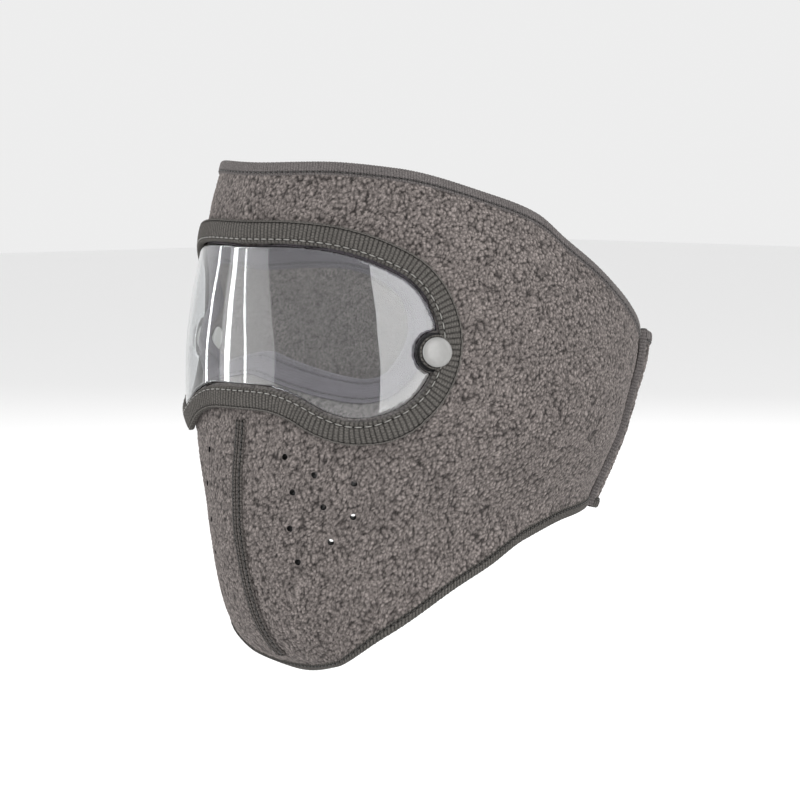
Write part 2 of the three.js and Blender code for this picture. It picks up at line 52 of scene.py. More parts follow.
# ---- the head's surface, the same as in the CAD source ----
# height, half width, reach to the front, reach to the back, exponent of the front half
HEAD_SECTIONS = np.array([
    [-128, 56, 53, 56, 2.0], [-120, 62, 65, 62, 2.0], [-112, 64.5, 73, 66, 2.0], [-100, 64.5, 80, 70, 2.0],
    [-80, 64.5, 86, 77, 2.0], [-64, 66, 88.5, 83, 2.0], [-49, 72, 88.8, 90, 2.0], [-34, 79, 87.5, 96, 2.0],
    [-22, 81.5, 86.5, 100, 2.2], [-2, 82, 86, 108, 2.2], [19, 80.5, 85.5, 110, 2.1], [40, 76.5, 84, 108, 2.0],
    [57, 73, 82, 103, 2.0], [82, 66, 77.5, 92, 2.0]])
TOP_EDGE = np.array([
    [0, 76], [22, 76.5], [45, 74], [75, 64], [93, 56], [104, 46], [116, 36], [128, 24.5], [140, 14], [155, 4],
    [170, 0], [180, 0]], float)
BOTTOM_EDGE = np.array([
    [0, -126.5], [22, -122.5], [42, -108.5], [65, -90.5], [79, -82.5], [95, -73.5], [120, -67.3], [150, -66],
    [180, -66]])
VISOR_OUTLINE = [
    [0, 44.6], [17, 44.6], [30, 42.4], [41, 37.4], [50, 30], [55, 19.5], [56.6, 8], [54.6, -5], [49.5, -15.5],
    [42, -21.6], [34, -23.1], [27, -20.6], [20, -15.6], [12.5, -12.3], [0, -11.6]]
EYE_OUTLINE = [
    [0, 34.8], [20, 36.4], [32, 35.8], [41, 31.8], [47, 24.5], [48.9, 15], [46.8, 4], [42, -5.4], [36, -7.6],
    [28, -6.2], [18, -2.8], [9, 0.2], [0, 2.2]]
FLAT_RADIUS = 87.0
FLEECE = 2.0
LINING_OUT = -2.3
LINING_IN = -4.3
RIM_WIDTH = 8.8
RIM_OUT = 3.1
LENS_IN, LENS_OUT = 0.8, 1.8
LENS_EDGE_GAP = 1.1
FLEECE_SETBACK = 3.0
EYE_BINDING_WIDTH = 9.0
LINING_DIP, DIP_RUN = 12.0, 17.0
TOP_BINDING, BOTTOM_BINDING, END_BINDING = 5.0, 4.5, 4.5
SNAP_ANGLE, SNAP_Z = 55.4, 3.4
CAP_RADIUS = 5.8
TAB_RADIUS = 6.5
LENS_NOTCH_RADIUS = 8.2
VENT_RADIUS = 1.15
VENTS = [[15.2, -38], [17.3, -51.7], [16.1, -66], [17.5, -79.3], [23.4, -44.6], [25.3, -57.2], [26.8, -71],
         [33.8, -47.7], [33, -61]]
WING_END, LEFT_END, FLAP_END, LIFT_START = 192.0, 188.0, 150.0, 216.0
LOOP_IN, LOOP_OUT, HOOK_IN, HOOK_OUT = 0.6, 1.4, 1.9, 2.7
FLAP_IN = 3.2
FLAP_OUT = FLAP_IN + FLEECE
PRESSED_DOWN = 2.4
WING_SPLIT = 262.0   # the cloth at the wing's hinge starts here, ahead of it
BACK_SPLIT = 360 - WING_SPLIT   # the same place on the wearer's left
FLAP_SPLIT = 201.0   # the cloth at the flap's hinge starts here


def smooth_table(rows):
    """Monotone cubic curve through rows of [x, values...]; returns a function of an array of x."""
    rows = np.asarray(rows, float)
    x, v = rows[:, 0], rows[:, 1:]
    chord = np.diff(v, axis=0) / np.diff(x)[:, None]
    slope = np.zeros_like(v)
    before, after = chord[:-1], chord[1:]
    same = before * after > 0
    total = np.where(same, before + after, 1)
    slope[1:-1] = np.where(same, 2 * before * after / total, 0)

    def value(at):
        at = np.clip(np.asarray(at, float), x[0], x[-1])
        i = np.clip(np.searchsorted(x, at, side="right") - 1, 0, len(x) - 2)
        span = (x[i + 1] - x[i])[..., None]
        t = (at[..., None] - x[i][..., None]) / span
        rise = t * t * (3 - 2 * t)
        return (v[i] * (1 - rise) + v[i + 1] * rise
                + span * t * (1 - t) * (slope[i] * (1 - t) - slope[i + 1] * t))
    return value


head_section = smooth_table(HEAD_SECTIONS)
top_curve = smooth_table(TOP_EDGE)
bottom_curve = smooth_table(BOTTOM_EDGE)


def fold_angle(deg):
    return 180 - np.abs(180 - np.mod(deg, 360))


def top_edge(deg):
    return top_curve(fold_angle(deg))[..., 0]


def bottom_edge(deg):
    return bottom_curve(fold_angle(deg))[..., 0]


def smooth_step(x):
    x = np.clip(x, 0, 1)
    return x * x * (3 - 2 * x)


def head_radius(deg, z):
    deg, z = np.broadcast_arrays(np.asarray(deg, float), np.asarray(z, float))
    section = head_section(z)
    side = np.abs(np.sin(np.radians(deg)))
    ahead = np.cos(np.radians(deg))
    power = np.where(ahead >= 0, section[..., 3], 2.0)
    reach = np.where(ahead >= 0, section[..., 1], section[..., 2])
    return ((side / section[..., 0]) ** power + (np.abs(ahead) / reach) ** power) ** (-1 / power)


def face_point(deg, z):
    radius = head_radius(deg, z)
    z = np.broadcast_to(np.asarray(z, float), radius.shape)
    angle = np.radians(np.broadcast_to(np.asarray(deg, float), radius.shape))
    return np.stack([radius * np.sin(angle), AXIS_Y - radius * np.cos(angle), z], -1)


def face_normal(deg, z):
    around = face_point(deg + 0.2, z) - face_point(deg - 0.2, z)
    up = face_point(deg, z + 0.4) - face_point(deg, z - 0.4)
    normal = np.cross(around, up)
    return normal / np.linalg.norm(normal, axis=-1, keepdims=True)


def over_face(deg, z, height):
    deg, z, height = np.broadcast_arrays(*(np.asarray(value, float) for value in (deg, z, height)))
    return face_point(deg, z) + face_normal(deg, z) * height[..., None]


def climb(deg, z, distance):
    slope = np.linalg.norm(face_point(deg, z + 1) - face_point(deg, z - 1), axis=-1) / 2
    return z + distance / slope


def wing_lift(deg):
    return FLAP_OUT * smooth_step((LIFT_START - deg) / (LIFT_START - WING_END))


def flap_lift(deg):
    """Height of the wing's and flap's outer face; the flap's free edge is pressed down beyond the tapes."""
    flap = FLAP_OUT - PRESSED_DOWN * smooth_step((FLAP_END + 3 - deg) / 3)
    return np.where(deg < WING_END, flap, wing_lift(deg))


# ---- outlines laid out flat: x = angle times radius, y = z ----
def flat_outline(half, count):
    """Closed centripetal Catmull-Rom curve through the half outline and its mirror image, evenly spaced."""
    right = [(math.radians(d) * FLAT_RADIUS, z) for d, z in half]
    left = [(-x, z) for x, z in right[1:-1]][::-1]
    points = np.array(right + left)
    total = len(points)
    dense = []
    for i in range(total):
        p0, p1, p2, p3 = (points[(i + k) % total] for k in (-1, 0, 1, 2))
        d0, d1, d2 = (max(np.linalg.norm(b - a), 1e-6) ** 0.5 for a, b in ((p0, p1), (p1, p2), (p2, p3)))
        m1 = ((p1 - p0) / d0 - (p2 - p0) / (d0 + d1) + (p2 - p1) / d1) * d1
        m2 = ((p2 - p1) / d1 - (p3 - p1) / (d1 + d2) + (p3 - p2) / d2) * d1
        t = (np.arange(60) / 60)[:, None]
        square = -3 * p1 + 3 * p2 - 2 * m1 - m2
        cube = 2 * p1 - 2 * p2 + m1 + m2
        dense.append(p1 + m1 * t + square * t ** 2 + cube * t ** 3)
    return even_loop(np.concatenate(dense), count)


def even_loop(loop, count):
    closed = np.vstack([loop, loop[:1]])
    run = np.concatenate([[0], np.cumsum(np.linalg.norm(np.diff(closed, axis=0), axis=1))])
    at = np.arange(count) * run[-1] / count
    return np.stack([np.interp(at, run, closed[:, k]) for k in range(2)], -1)


def loop_outward(loop):
    along = np.roll(loop, -1, axis=0) - np.roll(loop, 1, axis=0)
    along /= np.linalg.norm(along, axis=1, keepdims=True)
    return np.stack([-along[:, 1], along[:, 0]], -1)


def flat_to_face(p, height):
    return over_face(np.degrees(p[..., 0] / FLAT_RADIUS), p[..., 1], height)


def inside_loop(loop, x, y):
    inside = np.zeros(x.shape, bool)
    for a, b in zip(loop, np.roll(loop, -1, axis=0)):
        crosses = (a[1] > y) != (b[1] > y)
        rise = b[1] - a[1] if b[1] != a[1] else 1e-9
        inside ^= crosses & (x < a[0] + (y - a[1]) * (b[0] - a[0]) / rise)
    return inside


def distance_to_loop(loop, x, y):
    nearest = np.full(x.shape, np.inf)
    for a, b in zip(loop, np.roll(loop, -1, axis=0)):
        d = b - a
        t = np.clip(((x - a[0]) * d[0] + (y - a[1]) * d[1]) / (d @ d), 0, 1)
        nearest = np.minimum(nearest, np.hypot(x - a[0] - t * d[0], y - a[1] - t * d[1]))
    return nearest


visor_loop = flat_outline(VISOR_OUTLINE, 120)
eye_loop = flat_outline(EYE_OUTLINE, 100)


def lining_dip(deg, z):
    """How far the inner layer lies back behind the lens; it stays flat at the press studs."""
    deg, z = np.broadcast_arrays(np.asarray(deg, float), np.asarray(z, float))
    dip = np.zeros(deg.shape)
    near = (np.abs(deg) < 60) & (z > -30) & (z < 50)
    x, y = np.radians(deg[near]) * FLAT_RADIUS, z[near]
    depth = np.where(inside_loop(visor_loop, x, y), distance_to_loop(visor_loop, x, y), 0)
    from_snap = np.hypot(np.abs(x) - math.radians(SNAP_ANGLE) * FLAT_RADIUS, y - SNAP_Z)
    dip[near] = LINING_DIP * smooth_step(depth / DIP_RUN) * smooth_step((from_snap - 8) / 14)
    return dip


# ---- procedural heights ----
TUFT_SIZE = 1.5   # millimetres between the fleece's tufts
JITTER = np.random.RandomState(7).rand(8192, 3)


def hashed(cell, seed):
    c = cell.astype(np.int64)
    return (c[..., 0] * 73856093 ^ c[..., 1] * 19349663 ^ c[..., 2] * 83492791 ^ (seed * 2654435)) & 8191


def cells(p, size, seed):
    """Distances to the nearest and second nearest of points scattered one to a cell, in cell sizes."""
    q = p / size
    base = np.floor(q)
    first = np.full(len(p), 9.0)
    second = np.full(len(p), 9.0)
    for dx in (-1, 0, 1):
        for dy in (-1, 0, 1):
            for dz in (-1, 0, 1):
                cell = base + (dx, dy, dz)
                d = np.linalg.norm(cell + JITTER[hashed(cell, seed)] - q, axis=1)
                second = np.minimum(second, np.maximum(first, d))
                first = np.minimum(first, d)
    return first, second


def value_noise(p, size, seed):
    q = p / size
    base = np.floor(q)
    f = q - base
    f = f * f * (3 - 2 * f)
    total = np.zeros(len(p))
    for dx in (0, 1):
        for dy in (0, 1):
            for dz in (0, 1):
                weight = (np.where(dx, f[:, 0], 1 - f[:, 0]) * np.where(dy, f[:, 1], 1 - f[:, 1])
                          * np.where(dz, f[:, 2], 1 - f[:, 2]))
                total += weight * JITTER[hashed(base + (dx, dy, dz), seed), 0]
    return total


def pile(points, amount):
    """Height of pilled fleece at these points and how far up a tuft each lies, from 0 to 1."""
    warp = np.stack([value_noise(points, 5.0, seed) for seed in (11, 12, 13)], -1)
    bent = points + (warp - 0.5) * 3.2
    grain = np.stack([bent[:, 0] + bent[:, 2] * 0.35, bent[:, 1] + bent[:, 2] * 0.35,
                      bent[:, 2] * 0.85 - 0.3 * (bent[:, 0] + bent[:, 1])], -1)
    near, next_near = cells(grain, TUFT_SIZE, 1)
    tuft = np.clip(1 - near ** 2 * 1.6, 0, 1) * 0.55 + np.clip((next_near - near) * 2.2, 0, 1) * 0.45
    slow = value_noise(points, 8.0, 3)
    level = np.clip(tuft, 0, 1)
    return amount * (level - 0.5 + 0.25 * (slow - 0.5)), level


# ---- meshes ----
def new_mesh(name, points, faces):
    mesh = bpy.data.meshes.new(name)
    mesh.from_pydata((points * MM).tolist(), [], faces if isinstance(faces, list) else faces.tolist())
    mesh.polygons.foreach_set("use_smooth", [True] * len(mesh.polygons))
    mesh.update()
    piece = bpy.data.objects.new(f"{name}_surface", mesh)
    bpy.context.scene.collection.objects.link(piece)
    return piece


def paint(piece, values):
    """Stores how far up its relief each point lies, which the cloth materials read to paint shade in the
    hollows and highlight on the tips.
    """
    attribute = piece.data.attributes.new("level", "FLOAT", "POINT")
    attribute.data.foreach_set("value", np.asarray(values, np.float32))


def grid_faces(rows, columns, wrap=False):
    i = np.arange(rows - (0 if wrap else 1))[:, None]
    j = np.arange(columns - 1)[None, :]
    k = (i + 1) % rows
    corners = [i * columns + j, k * columns + j, k * columns + j + 1, i * columns + j + 1]
    return np.stack(corners, -1).reshape(-1, 4)


def keep_used(faces, *values):
    """Drops the points that no face uses, from faces and from each list of values."""
    used = np.unique(faces)
    back = np.full(len(values[0]), -1)
    back[used] = np.arange(len(used))
    return back[faces], [v[used] for v in values]


def two_sided(front_faces, count):
    """Closes a sheet and its copy, count points further on, with a wall round every edge."""
    edges = {}
    for face in front_faces.tolist():
        for a, b in zip(face, face[1:] + face[:1]):
            if (b, a) in edges:
                del edges[(b, a)]
            else:
                edges[(a, b)] = True
    walls = [(b, a, a + count, b + count) for a, b in edges]
    return front_faces.tolist() + (front_faces[:, ::-1] + count).tolist() + walls


class Thread:
    """Collects short round stitches and lengths of thread into one mesh."""

    def __init__(self, sides=6):
        self.sides, self.points, self.faces, self.count = sides, [], [], 0

    def add(self, path, radius, out):
        """A strand along path that thins at both ends; out is the way off the cloth."""
        path = np.asarray(path, float)
        along = np.gradient(path, axis=0)
        along /= np.linalg.norm(along, axis=1, keepdims=True)
        side = np.cross(along, out)
        side /= np.linalg.norm(side, axis=1, keepdims=True)
        up = np.cross(side, along)
        turn = np.arange(self.sides) * 2 * np.pi / self.sides
        share = np.linspace(0, 1, len(path))
        thick = radius * np.clip(np.sqrt(np.sin(np.pi * np.clip(share * 0.94 + 0.03, 0, 1))) * 1.15, 0.25, 1)
        ring = (path[:, None] + thick[:, None, None]
                * (np.cos(turn)[None, :, None] * side[:, None] + np.sin(turn)[None, :, None] * up[:, None]))
        base, n = self.count, self.sides
        self.points.append(ring.reshape(-1, 3))
        for i in range(len(path) - 1):
            for k in range(n):
                m = (k + 1) % n
                here, beyond = base + i * n, base + (i + 1) * n
                self.faces.append((here + k, here + m, beyond + m, beyond + k))
        self.faces.append(tuple(base + k for k in range(n))[::-1])
        self.faces.append(tuple(base + (len(path) - 1) * n + k for k in range(n)))
        self.count += len(path) * n

    def piece(self, name):
        return new_mesh(name, np.concatenate(self.points), self.faces)


# ---- materials ----
def material(name, color, roughness):
    m = bpy.data.materials.new(name)
    m.use_nodes = True
    shader = m.node_tree.nodes["Principled BSDF"]
    shader.inputs["Base Color"].default_value = (*color, 1)
    shader.inputs["Roughness"].default_value = roughness
    return m, m.node_tree.nodes, m.node_tree.links, shader


def object_noise(nodes, links, scale, detail=3.0, stretch=(1, 1, 1)):
    place = nodes.new("ShaderNodeTexCoord")
    mapping = nodes.new("ShaderNodeMapping")
    mapping.inputs["Scale"].default_value = stretch
    noise = nodes.new("ShaderNodeTexNoise")
    noise.inputs["Scale"].default_value = scale
    noise.inputs["Detail"].default_value = detail
    links.new(place.outputs["Object"], mapping.inputs["Vector"])
    links.new(mapping.outputs["Vector"], noise.inputs["Vector"])
    return noise


def ramp(nodes, links, source, stops):
    node = nodes.new("ShaderNodeValToRGB")
    while len(node.color_ramp.elements) < len(stops):
        node.color_ramp.elements.new(0.5)
    for element, (place, color) in zip(node.color_ramp.elements, stops):
        element.position = place
        element.color = (*color, 1)
    links.new(source, node.inputs["Fac"])
    return node


def multiply(nodes, links, a, b):
    node = nodes.new("ShaderNodeMix")
    node.data_type = "RGBA"
    node.blend_type = "MULTIPLY"
    node.inputs[0].default_value = 1.0
    links.new(a, node.inputs[6])
    links.new(b, node.inputs[7])
    return node.outputs[2]


def bump(nodes, links, shader, height, distance, strength=1.0):
    node = nodes.new("ShaderNodeBump")
    node.inputs["Distance"].default_value = distance * MM
    node.inputs["Strength"].default_value = strength
    links.new(height, node.inputs["Height"])
    links.new(node.outputs["Normal"], shader.inputs["Normal"])


def cloth_material(name, dark, light, fibre_scale, fibre_depth, sheen, mottle=0.07, middle=0.58):
    """Knitted or pilled cloth: painted shade darkens the hollows that the mesh's own relief makes, and
    painted highlight lightens the tips.
    """
    m, nodes, links, shader = material(name, light, 1.0)
    level = nodes.new("ShaderNodeAttribute")
    level.attribute_name = "level"
    between = tuple(a + (b - a) * middle for a, b in zip(dark, light))
    # painted shade in the hollows and painted highlight on the tips, from the level attribute
    relief = ramp(nodes, links, level.outputs["Fac"], [(0.0, dark), (0.4, between), (1.0, light)])
    slow = object_noise(nodes, links, 90, 2)
    patches = ramp(nodes, links, slow.outputs["Fac"], [(0.3, (1 - mottle,) * 3), (0.7, (1 + mottle,) * 3)])
    fine = object_noise(nodes, links, fibre_scale, 4)
    specks = ramp(nodes, links, fine.outputs["Fac"], [(0.32, (0.55,) * 3), (0.7, (1.45,) * 3)])
    toned = multiply(nodes, links, relief.outputs["Color"], patches.outputs["Color"])
    toned = multiply(nodes, links, toned, specks.outputs["Color"])
    links.new(toned, shader.inputs["Base Color"])
    bump(nodes, links, shader, fine.outputs["Fac"], fibre_depth, 0.9)
    shader.inputs["Sheen Weight"].default_value = sheen
    shader.inputs["Sheen Roughness"].default_value = 0.55
    shader.inputs["Sheen Tint"].default_value = (0.75, 0.7, 0.68, 1)
    shader.inputs["Specular IOR Level"].default_value = 0.12
    return m


FLEECE_MAT = cloth_material("fleece_pile", (0.014, 0.0122, 0.0116), (0.19, 0.167, 0.158), 1100, 0.3, 0.08,
                            middle=0.42)
LINING_MAT = cloth_material("lining_fleece", (0.06, 0.054, 0.052), (0.16, 0.146, 0.141), 1300, 0.18, 0.1)
RIB_MAT = cloth_material("rib_knit", (0.003, 0.0028, 0.0025), (0.098, 0.092, 0.085), 2400, 0.1, 0.05,
                         middle=0.3)
SMOOTH_MAT = cloth_material("smooth_knit", (0.012, 0.011, 0.011), (0.115, 0.105, 0.103), 2400, 0.09, 0.08)
EYE_KNIT_MAT = cloth_material("eye_binding_knit", (0.016, 0.014, 0.016), (0.105, 0.094, 0.105), 2400, 0.09,
                              0.08)
SEAM_MAT = cloth_material("seam_strip", (0.005, 0.0045, 0.004), (0.085, 0.077, 0.072), 1500, 0.2, 0.05)
TAPE_MAT = cloth_material("dark_tape", (0.004, 0.004, 0.004), (0.035, 0.034, 0.035), 2600, 0.07, 0.06)
HOOK_MAT = cloth_material("hook_tape", (0.004, 0.004, 0.004), (0.04, 0.04, 0.04), 2600, 0.04, 0.03)


def thread_material(name, color):
    m, nodes, links, shader = material(name, color, 0.75)
    twist = object_noise(nodes, links, 2200, 2, (1, 1, 2.2))
    dark, light = (tuple(share * c for c in color) for share in (0.6, 1.35))
    shade = ramp(nodes, links, twist.outputs["Fac"], [(0.3, dark), (0.7, light)])
    links.new(shade.outputs["Color"], shader.inputs["Base Color"])
    bump(nodes, links, shader, twist.outputs["Fac"], 0.06)
    shader.inputs["Sheen Weight"].default_value = 0.2
    return m


DARK_THREAD = thread_material("dark_thread", (0.022, 0.02, 0.018))
GREY_THREAD = thread_material("grey_thread", (0.2, 0.195, 0.18))


def vary_roughness(nodes, links, shader, source, low, high, first=0.0, last=1.0):
    """Roughness from low to high while the source runs from first to last."""
    rough = nodes.new("ShaderNodeMapRange")
    rough.inputs["From Min"].default_value = first
    rough.inputs["From Max"].default_value = last
    rough.inputs["To Min"].default_value = low
    rough.inputs["To Max"].default_value = high
    links.new(source, rough.inputs["Value"])
    links.new(rough.outputs["Result"], shader.inputs["Roughness"])


def plastic_material(name, color, roughness):
    m, nodes, links, shader = material(name, color, roughness)
    grain = object_noise(nodes, links, 700, 4)
    tone = ramp(nodes, links, grain.outputs["Fac"], [(0.35, tuple(0.94 * c for c in color)), (0.65, color)])
    links.new(tone.outputs["Color"], shader.inputs["Base Color"])
    vary_roughness(nodes, links, shader, grain.outputs["Fac"], roughness - 0.07, roughness + 0.1)
    bump(nodes, links, shader, grain.outputs["Fac"], 0.03, 0.5)
    return m


CAP_MAT = plastic_material("snap_cap_plastic", (0.22, 0.218, 0.212), 0.3)
STUD_MAT = plastic_material("snap_inner_plastic", (0.5, 0.5, 0.48), 0.38)
# the vents' material: the melted edge's own colour at level 0.75, near-black painted shade at level 0
VENT_EDGE_AND_SHADE_MAT = cloth_material("melted_edge_and_painted_shade", (0.002, 0.002, 0.002), (0.13, 0.115, 0.11), 900, 0.08, 0.0)
VENT_EDGE_AND_SHADE_MAT.node_tree.nodes["Principled BSDF"].inputs["Roughness"].default_value = 0.6


def lens_material():
    """Clear polished sheet. Rays from the lamps pass straight through it."""
    m, nodes, links, shader = material("clear_lens", (0.9, 0.92, 0.93), 0.02)
    shader.inputs["Transmission Weight"].default_value = 1.0
    shader.inputs["IOR"].default_value = 1.49
    smear = object_noise(nodes, links, 60, 3, (1, 1, 0.25))
    vary_roughness(nodes, links, shader, smear.outputs["Fac"], 0.0, 0.045, 0.35, 0.75)
    path = nodes.new("ShaderNodeLightPath")
    clear = nodes.new("ShaderNodeBsdfTransparent")
    clear.inputs["Color"].default_value = (0.9, 0.92, 0.93, 1)
    blend = nodes.new("ShaderNodeMixShader")
    links.new(path.outputs["Is Shadow Ray"], blend.inputs["Fac"])
    links.new(shader.outputs["BSDF"], blend.inputs[1])
    links.new(clear.outputs["BSDF"], blend.inputs[2])
    links.new(blend.outputs["Shader"], nodes["Material Output"].inputs["Surface"])
    return m


LENS_MAT = lens_material()


def dress(piece, mat, body=None, replaces=()):
    piece.data.materials.append(mat)
    if body:
        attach(piece, body)
    if replaces:
        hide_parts(*replaces)
    return piece


# ---- camera, at the photograph's viewing angle ----
CAMERA_AZIMUTH, CAMERA_ELEVATION, CAMERA_DISTANCE = 47.0, 3.5, 1.5
WIDTH_AT_ORIGIN = 0.328   # metres across the picture in the plane through the origin
TARGET_RIGHT, TARGET_UP = -0.00738, -0.0217   # where the picture's middle lies from the origin


def direction(azimuth, elevation):
    """From the object towards a viewer or a lamp."""
    a, e = math.radians(azimuth), math.radians(elevation)
    return Vector((math.sin(a) * math.cos(e), -math.cos(a) * math.cos(e), math.sin(e)))


def place_camera():
    back = direction(CAMERA_AZIMUTH, CAMERA_ELEVATION)
    data = bpy.data.cameras.new("camera")
    camera = bpy.data.objects.new("camera", data)
    bpy.context.scene.collection.objects.link(camera)
    data.sensor_width = 36
    data.lens = 36 * CAMERA_DISTANCE / WIDTH_AT_ORIGIN
    data.shift_x = TARGET_RIGHT / WIDTH_AT_ORIGIN
    data.shift_y = TARGET_UP / WIDTH_AT_ORIGIN
    camera.location = back * CAMERA_DISTANCE
    camera.rotation_euler = back.to_track_quat("Z", "Y").to_euler()
    bpy.context.scene.camera = camera


place_camera()


# ---- the two cloth layers ----
def signed_distance(loop, x, y):
    """Distance outside a flat loop; negative inside it."""
    distance = distance_to_loop(loop, x, y)
    return np.where(inside_loop(loop, x, y), -distance, distance)


def pull_to(loop, x, y, offset):
    """Moves flat points onto the line at this distance outside the loop."""
    moved = np.stack([x, y], -1)
    for _ in range(3):
        step = 0.02
        here = signed_distance(loop, moved[:, 0], moved[:, 1])
        gx = (signed_distance(loop, moved[:, 0] + step, moved[:, 1]) - here) / step
        gy = (signed_distance(loop, moved[:, 0], moved[:, 1] + step) - here) / step
        size = np.maximum(np.hypot(gx, gy), 0.2)
        moved += ((offset - here) / size)[:, None] * np.stack([gx, gy], -1) / size[:, None]
    return moved[:, 0], moved[:, 1]


def cut_hole(x, y, faces, loop, offset):
    """Takes out the faces within the loop grown by offset, and lays the edge that is left along that line."""
    low, high = loop.min(0) - offset - 3, loop.max(0) + offset + 3
    near = np.flatnonzero((x > low[0]) & (x < high[0]) & (y > low[1]) & (y < high[1]))
    if len(near) == 0:
        return faces
    inside = np.zeros(len(x), bool)
    inside[near] = signed_distance(loop, x[near], y[near]) < offset
    gone = inside[faces].any(1)
    edge = np.unique(faces[gone])
    edge = edge[~inside[edge]]
    if len(edge):
        x[edge], y[edge] = pull_to(loop, x[edge], y[edge], offset)
    return faces[~gone]


def circle_loop(deg, z, radius, sides=28):
    turn = -np.arange(sides) * 2 * np.pi / sides
    local = float(head_radius(deg, z))
    return np.stack([math.radians(deg) * FLAT_RADIUS + radius * np.sin(turn) * FLAT_RADIUS / local,
                     z + radius * np.cos(turn)], -1)


VENT_PLACES = [(side * deg, z) for side in (-1, 1) for deg, z in VENTS]


def cloth(name, first, last, columns, rows, height, facing, amount, holes, flip=False):
    """One layer of fleece between two angles, with its pile standing on the side that facing names."""
    deg = np.linspace(first, last, columns)[:, None]
    low = climb(deg, bottom_edge(deg), 1.2)
    high = climb(deg, top_edge(deg), -1.2)
    share = np.linspace(0, 1, rows)[None, :]
    z = low + (high - low) * share
    x = (np.radians(deg) * FLAT_RADIUS + 0 * z).ravel()
    y = z.ravel()
    faces = grid_faces(columns, rows)
    for loop, offset in holes:
        faces = cut_hole(x, y, faces, loop, offset)
    if flip:
        faces = faces[:, ::-1]
    faces, (x, y) = keep_used(faces, x, y)
    at = np.degrees(x / FLAT_RADIUS)
    base = over_face(at, y, height(at, y))
    lift, level = pile(base, amount)
    points = base + face_normal(at, y) * (facing * lift)[:, None]
    piece = new_mesh(name, points, faces)
    paint(piece, level)
    return piece


vent_holes = [(circle_loop(deg, z, VENT_RADIUS), 0.1) for deg, z in VENT_PLACES]
right_vents = vent_holes[:len(VENTS)]
left_vents = vent_holes[len(VENTS):]
visor_hole = [(visor_loop, FLEECE_SETBACK)]
eye_hole = [(eye_loop, 0.8)]
PILE = 0.55


def on_face(deg, z):
    return 0 * z


def on_wing(deg, z):
    return wing_lift(deg)


def on_flap(deg, z):
    return flap_lift(deg)


def lining_back(deg, z):
    return LINING_IN - lining_dip(deg, z)


def wing_back(deg, z):
    return wing_lift(deg) + LINING_IN


def flap_back(deg, z):
    """Height of the flap's back face, which runs on into the wing's lining."""
    thickness = FLEECE + (-LINING_IN - FLEECE) * smooth_step((deg - 186) / 6)
    return flap_lift(deg) - thickness


def fleece(name, first, last, columns, rows, height, holes, body, replaced):
    piece = cloth(name, first, last, columns, rows, height, 1, PILE, holes)
    return dress(piece, FLEECE_MAT, body, replaced)


def lining(name, first, last, columns, rows, height, holes, body, replaced, amount=0.3):
    piece = cloth(name, first, last, columns, rows, height, -1, amount, holes, flip=True)
    return dress(piece, LINING_MAT, body, replaced)


FLAP_START = FLAP_END + 0.7
fleece_right = fleece("outer_fleece_right", -BACK_SPLIT, 0, 290, 338, on_face, visor_hole + right_vents,
                      "root", ["outer_fleece"])
fleece_left = fleece("outer_fleece_left", 0, BACK_SPLIT, 290, 338, on_face, visor_hole + left_vents,
                     "root", ["outer_fleece"])
fleece_back = fleece("outer_fleece_left_back", BACK_SPLIT, LEFT_END, 262, 240, on_face, [],
                     "root", ["outer_fleece"])
fleece_wing = fleece("wing_fleece", FLAP_SPLIT, WING_SPLIT, 180, 240, on_wing, [], None, ["wing_fleece"])
fleece_flap = fleece("closure_flap", FLAP_START, FLAP_SPLIT, 150, 160, on_flap, [], None, ["closure_flap"])
lining_right = lining("inner_lining_right", WING_SPLIT - 360, 0, 160, 200, lining_back,
                      eye_hole + right_vents, "root", ["inner_lining"])
lining_left = lining("inner_lining_left", 0, LEFT_END, 300, 200, lining_back,
                     eye_hole + left_vents, "root", ["inner_lining"])
lining_wing = lining("wing_lining", FLAP_SPLIT, WING_SPLIT, 110, 120, wing_back, [], None, ["wing_lining"])
lining_flap = lining("flap_lining", FLAP_START, FLAP_SPLIT, 90, 90, flap_back, [], None, (), 0.15)


def brow_layer():
    """The lining's outer side, seen through the lens round the eye opening."""
    columns, rows = 230, 170
    x, y = np.meshgrid(np.linspace(-96, 96, columns), np.linspace(-30, 51, rows), indexing="ij")
    x, y = x.ravel(), y.ravel()
    faces = cut_hole(x, y, grid_faces(columns, rows), eye_loop, 0.8)
    outside = signed_distance(visor_loop, x, y) > 6.5
    faces = faces[~outside[faces].any(1)]
    faces, (x, y) = keep_used(faces, x, y)
    at = np.degrees(x / FLAT_RADIUS)
    base = over_face(at, y, LINING_OUT - lining_dip(at, y))
    lift, level = pile(base, 0.34)
    piece = new_mesh("lining_face", base + face_normal(at, y) * lift[:, None], faces)
    paint(piece, level)
    return dress(piece, LINING_MAT, "root")


lining_face = brow_layer()


# ---- knitted bands ----
def rib_profile(share):
    """Round ribs with narrow hollows between them: 0 in a hollow, 1 on a crest."""
    t = np.mod(share, 1.0) * 2 - 1
    return np.sqrt(np.clip(1 - t * t, 0, 1))


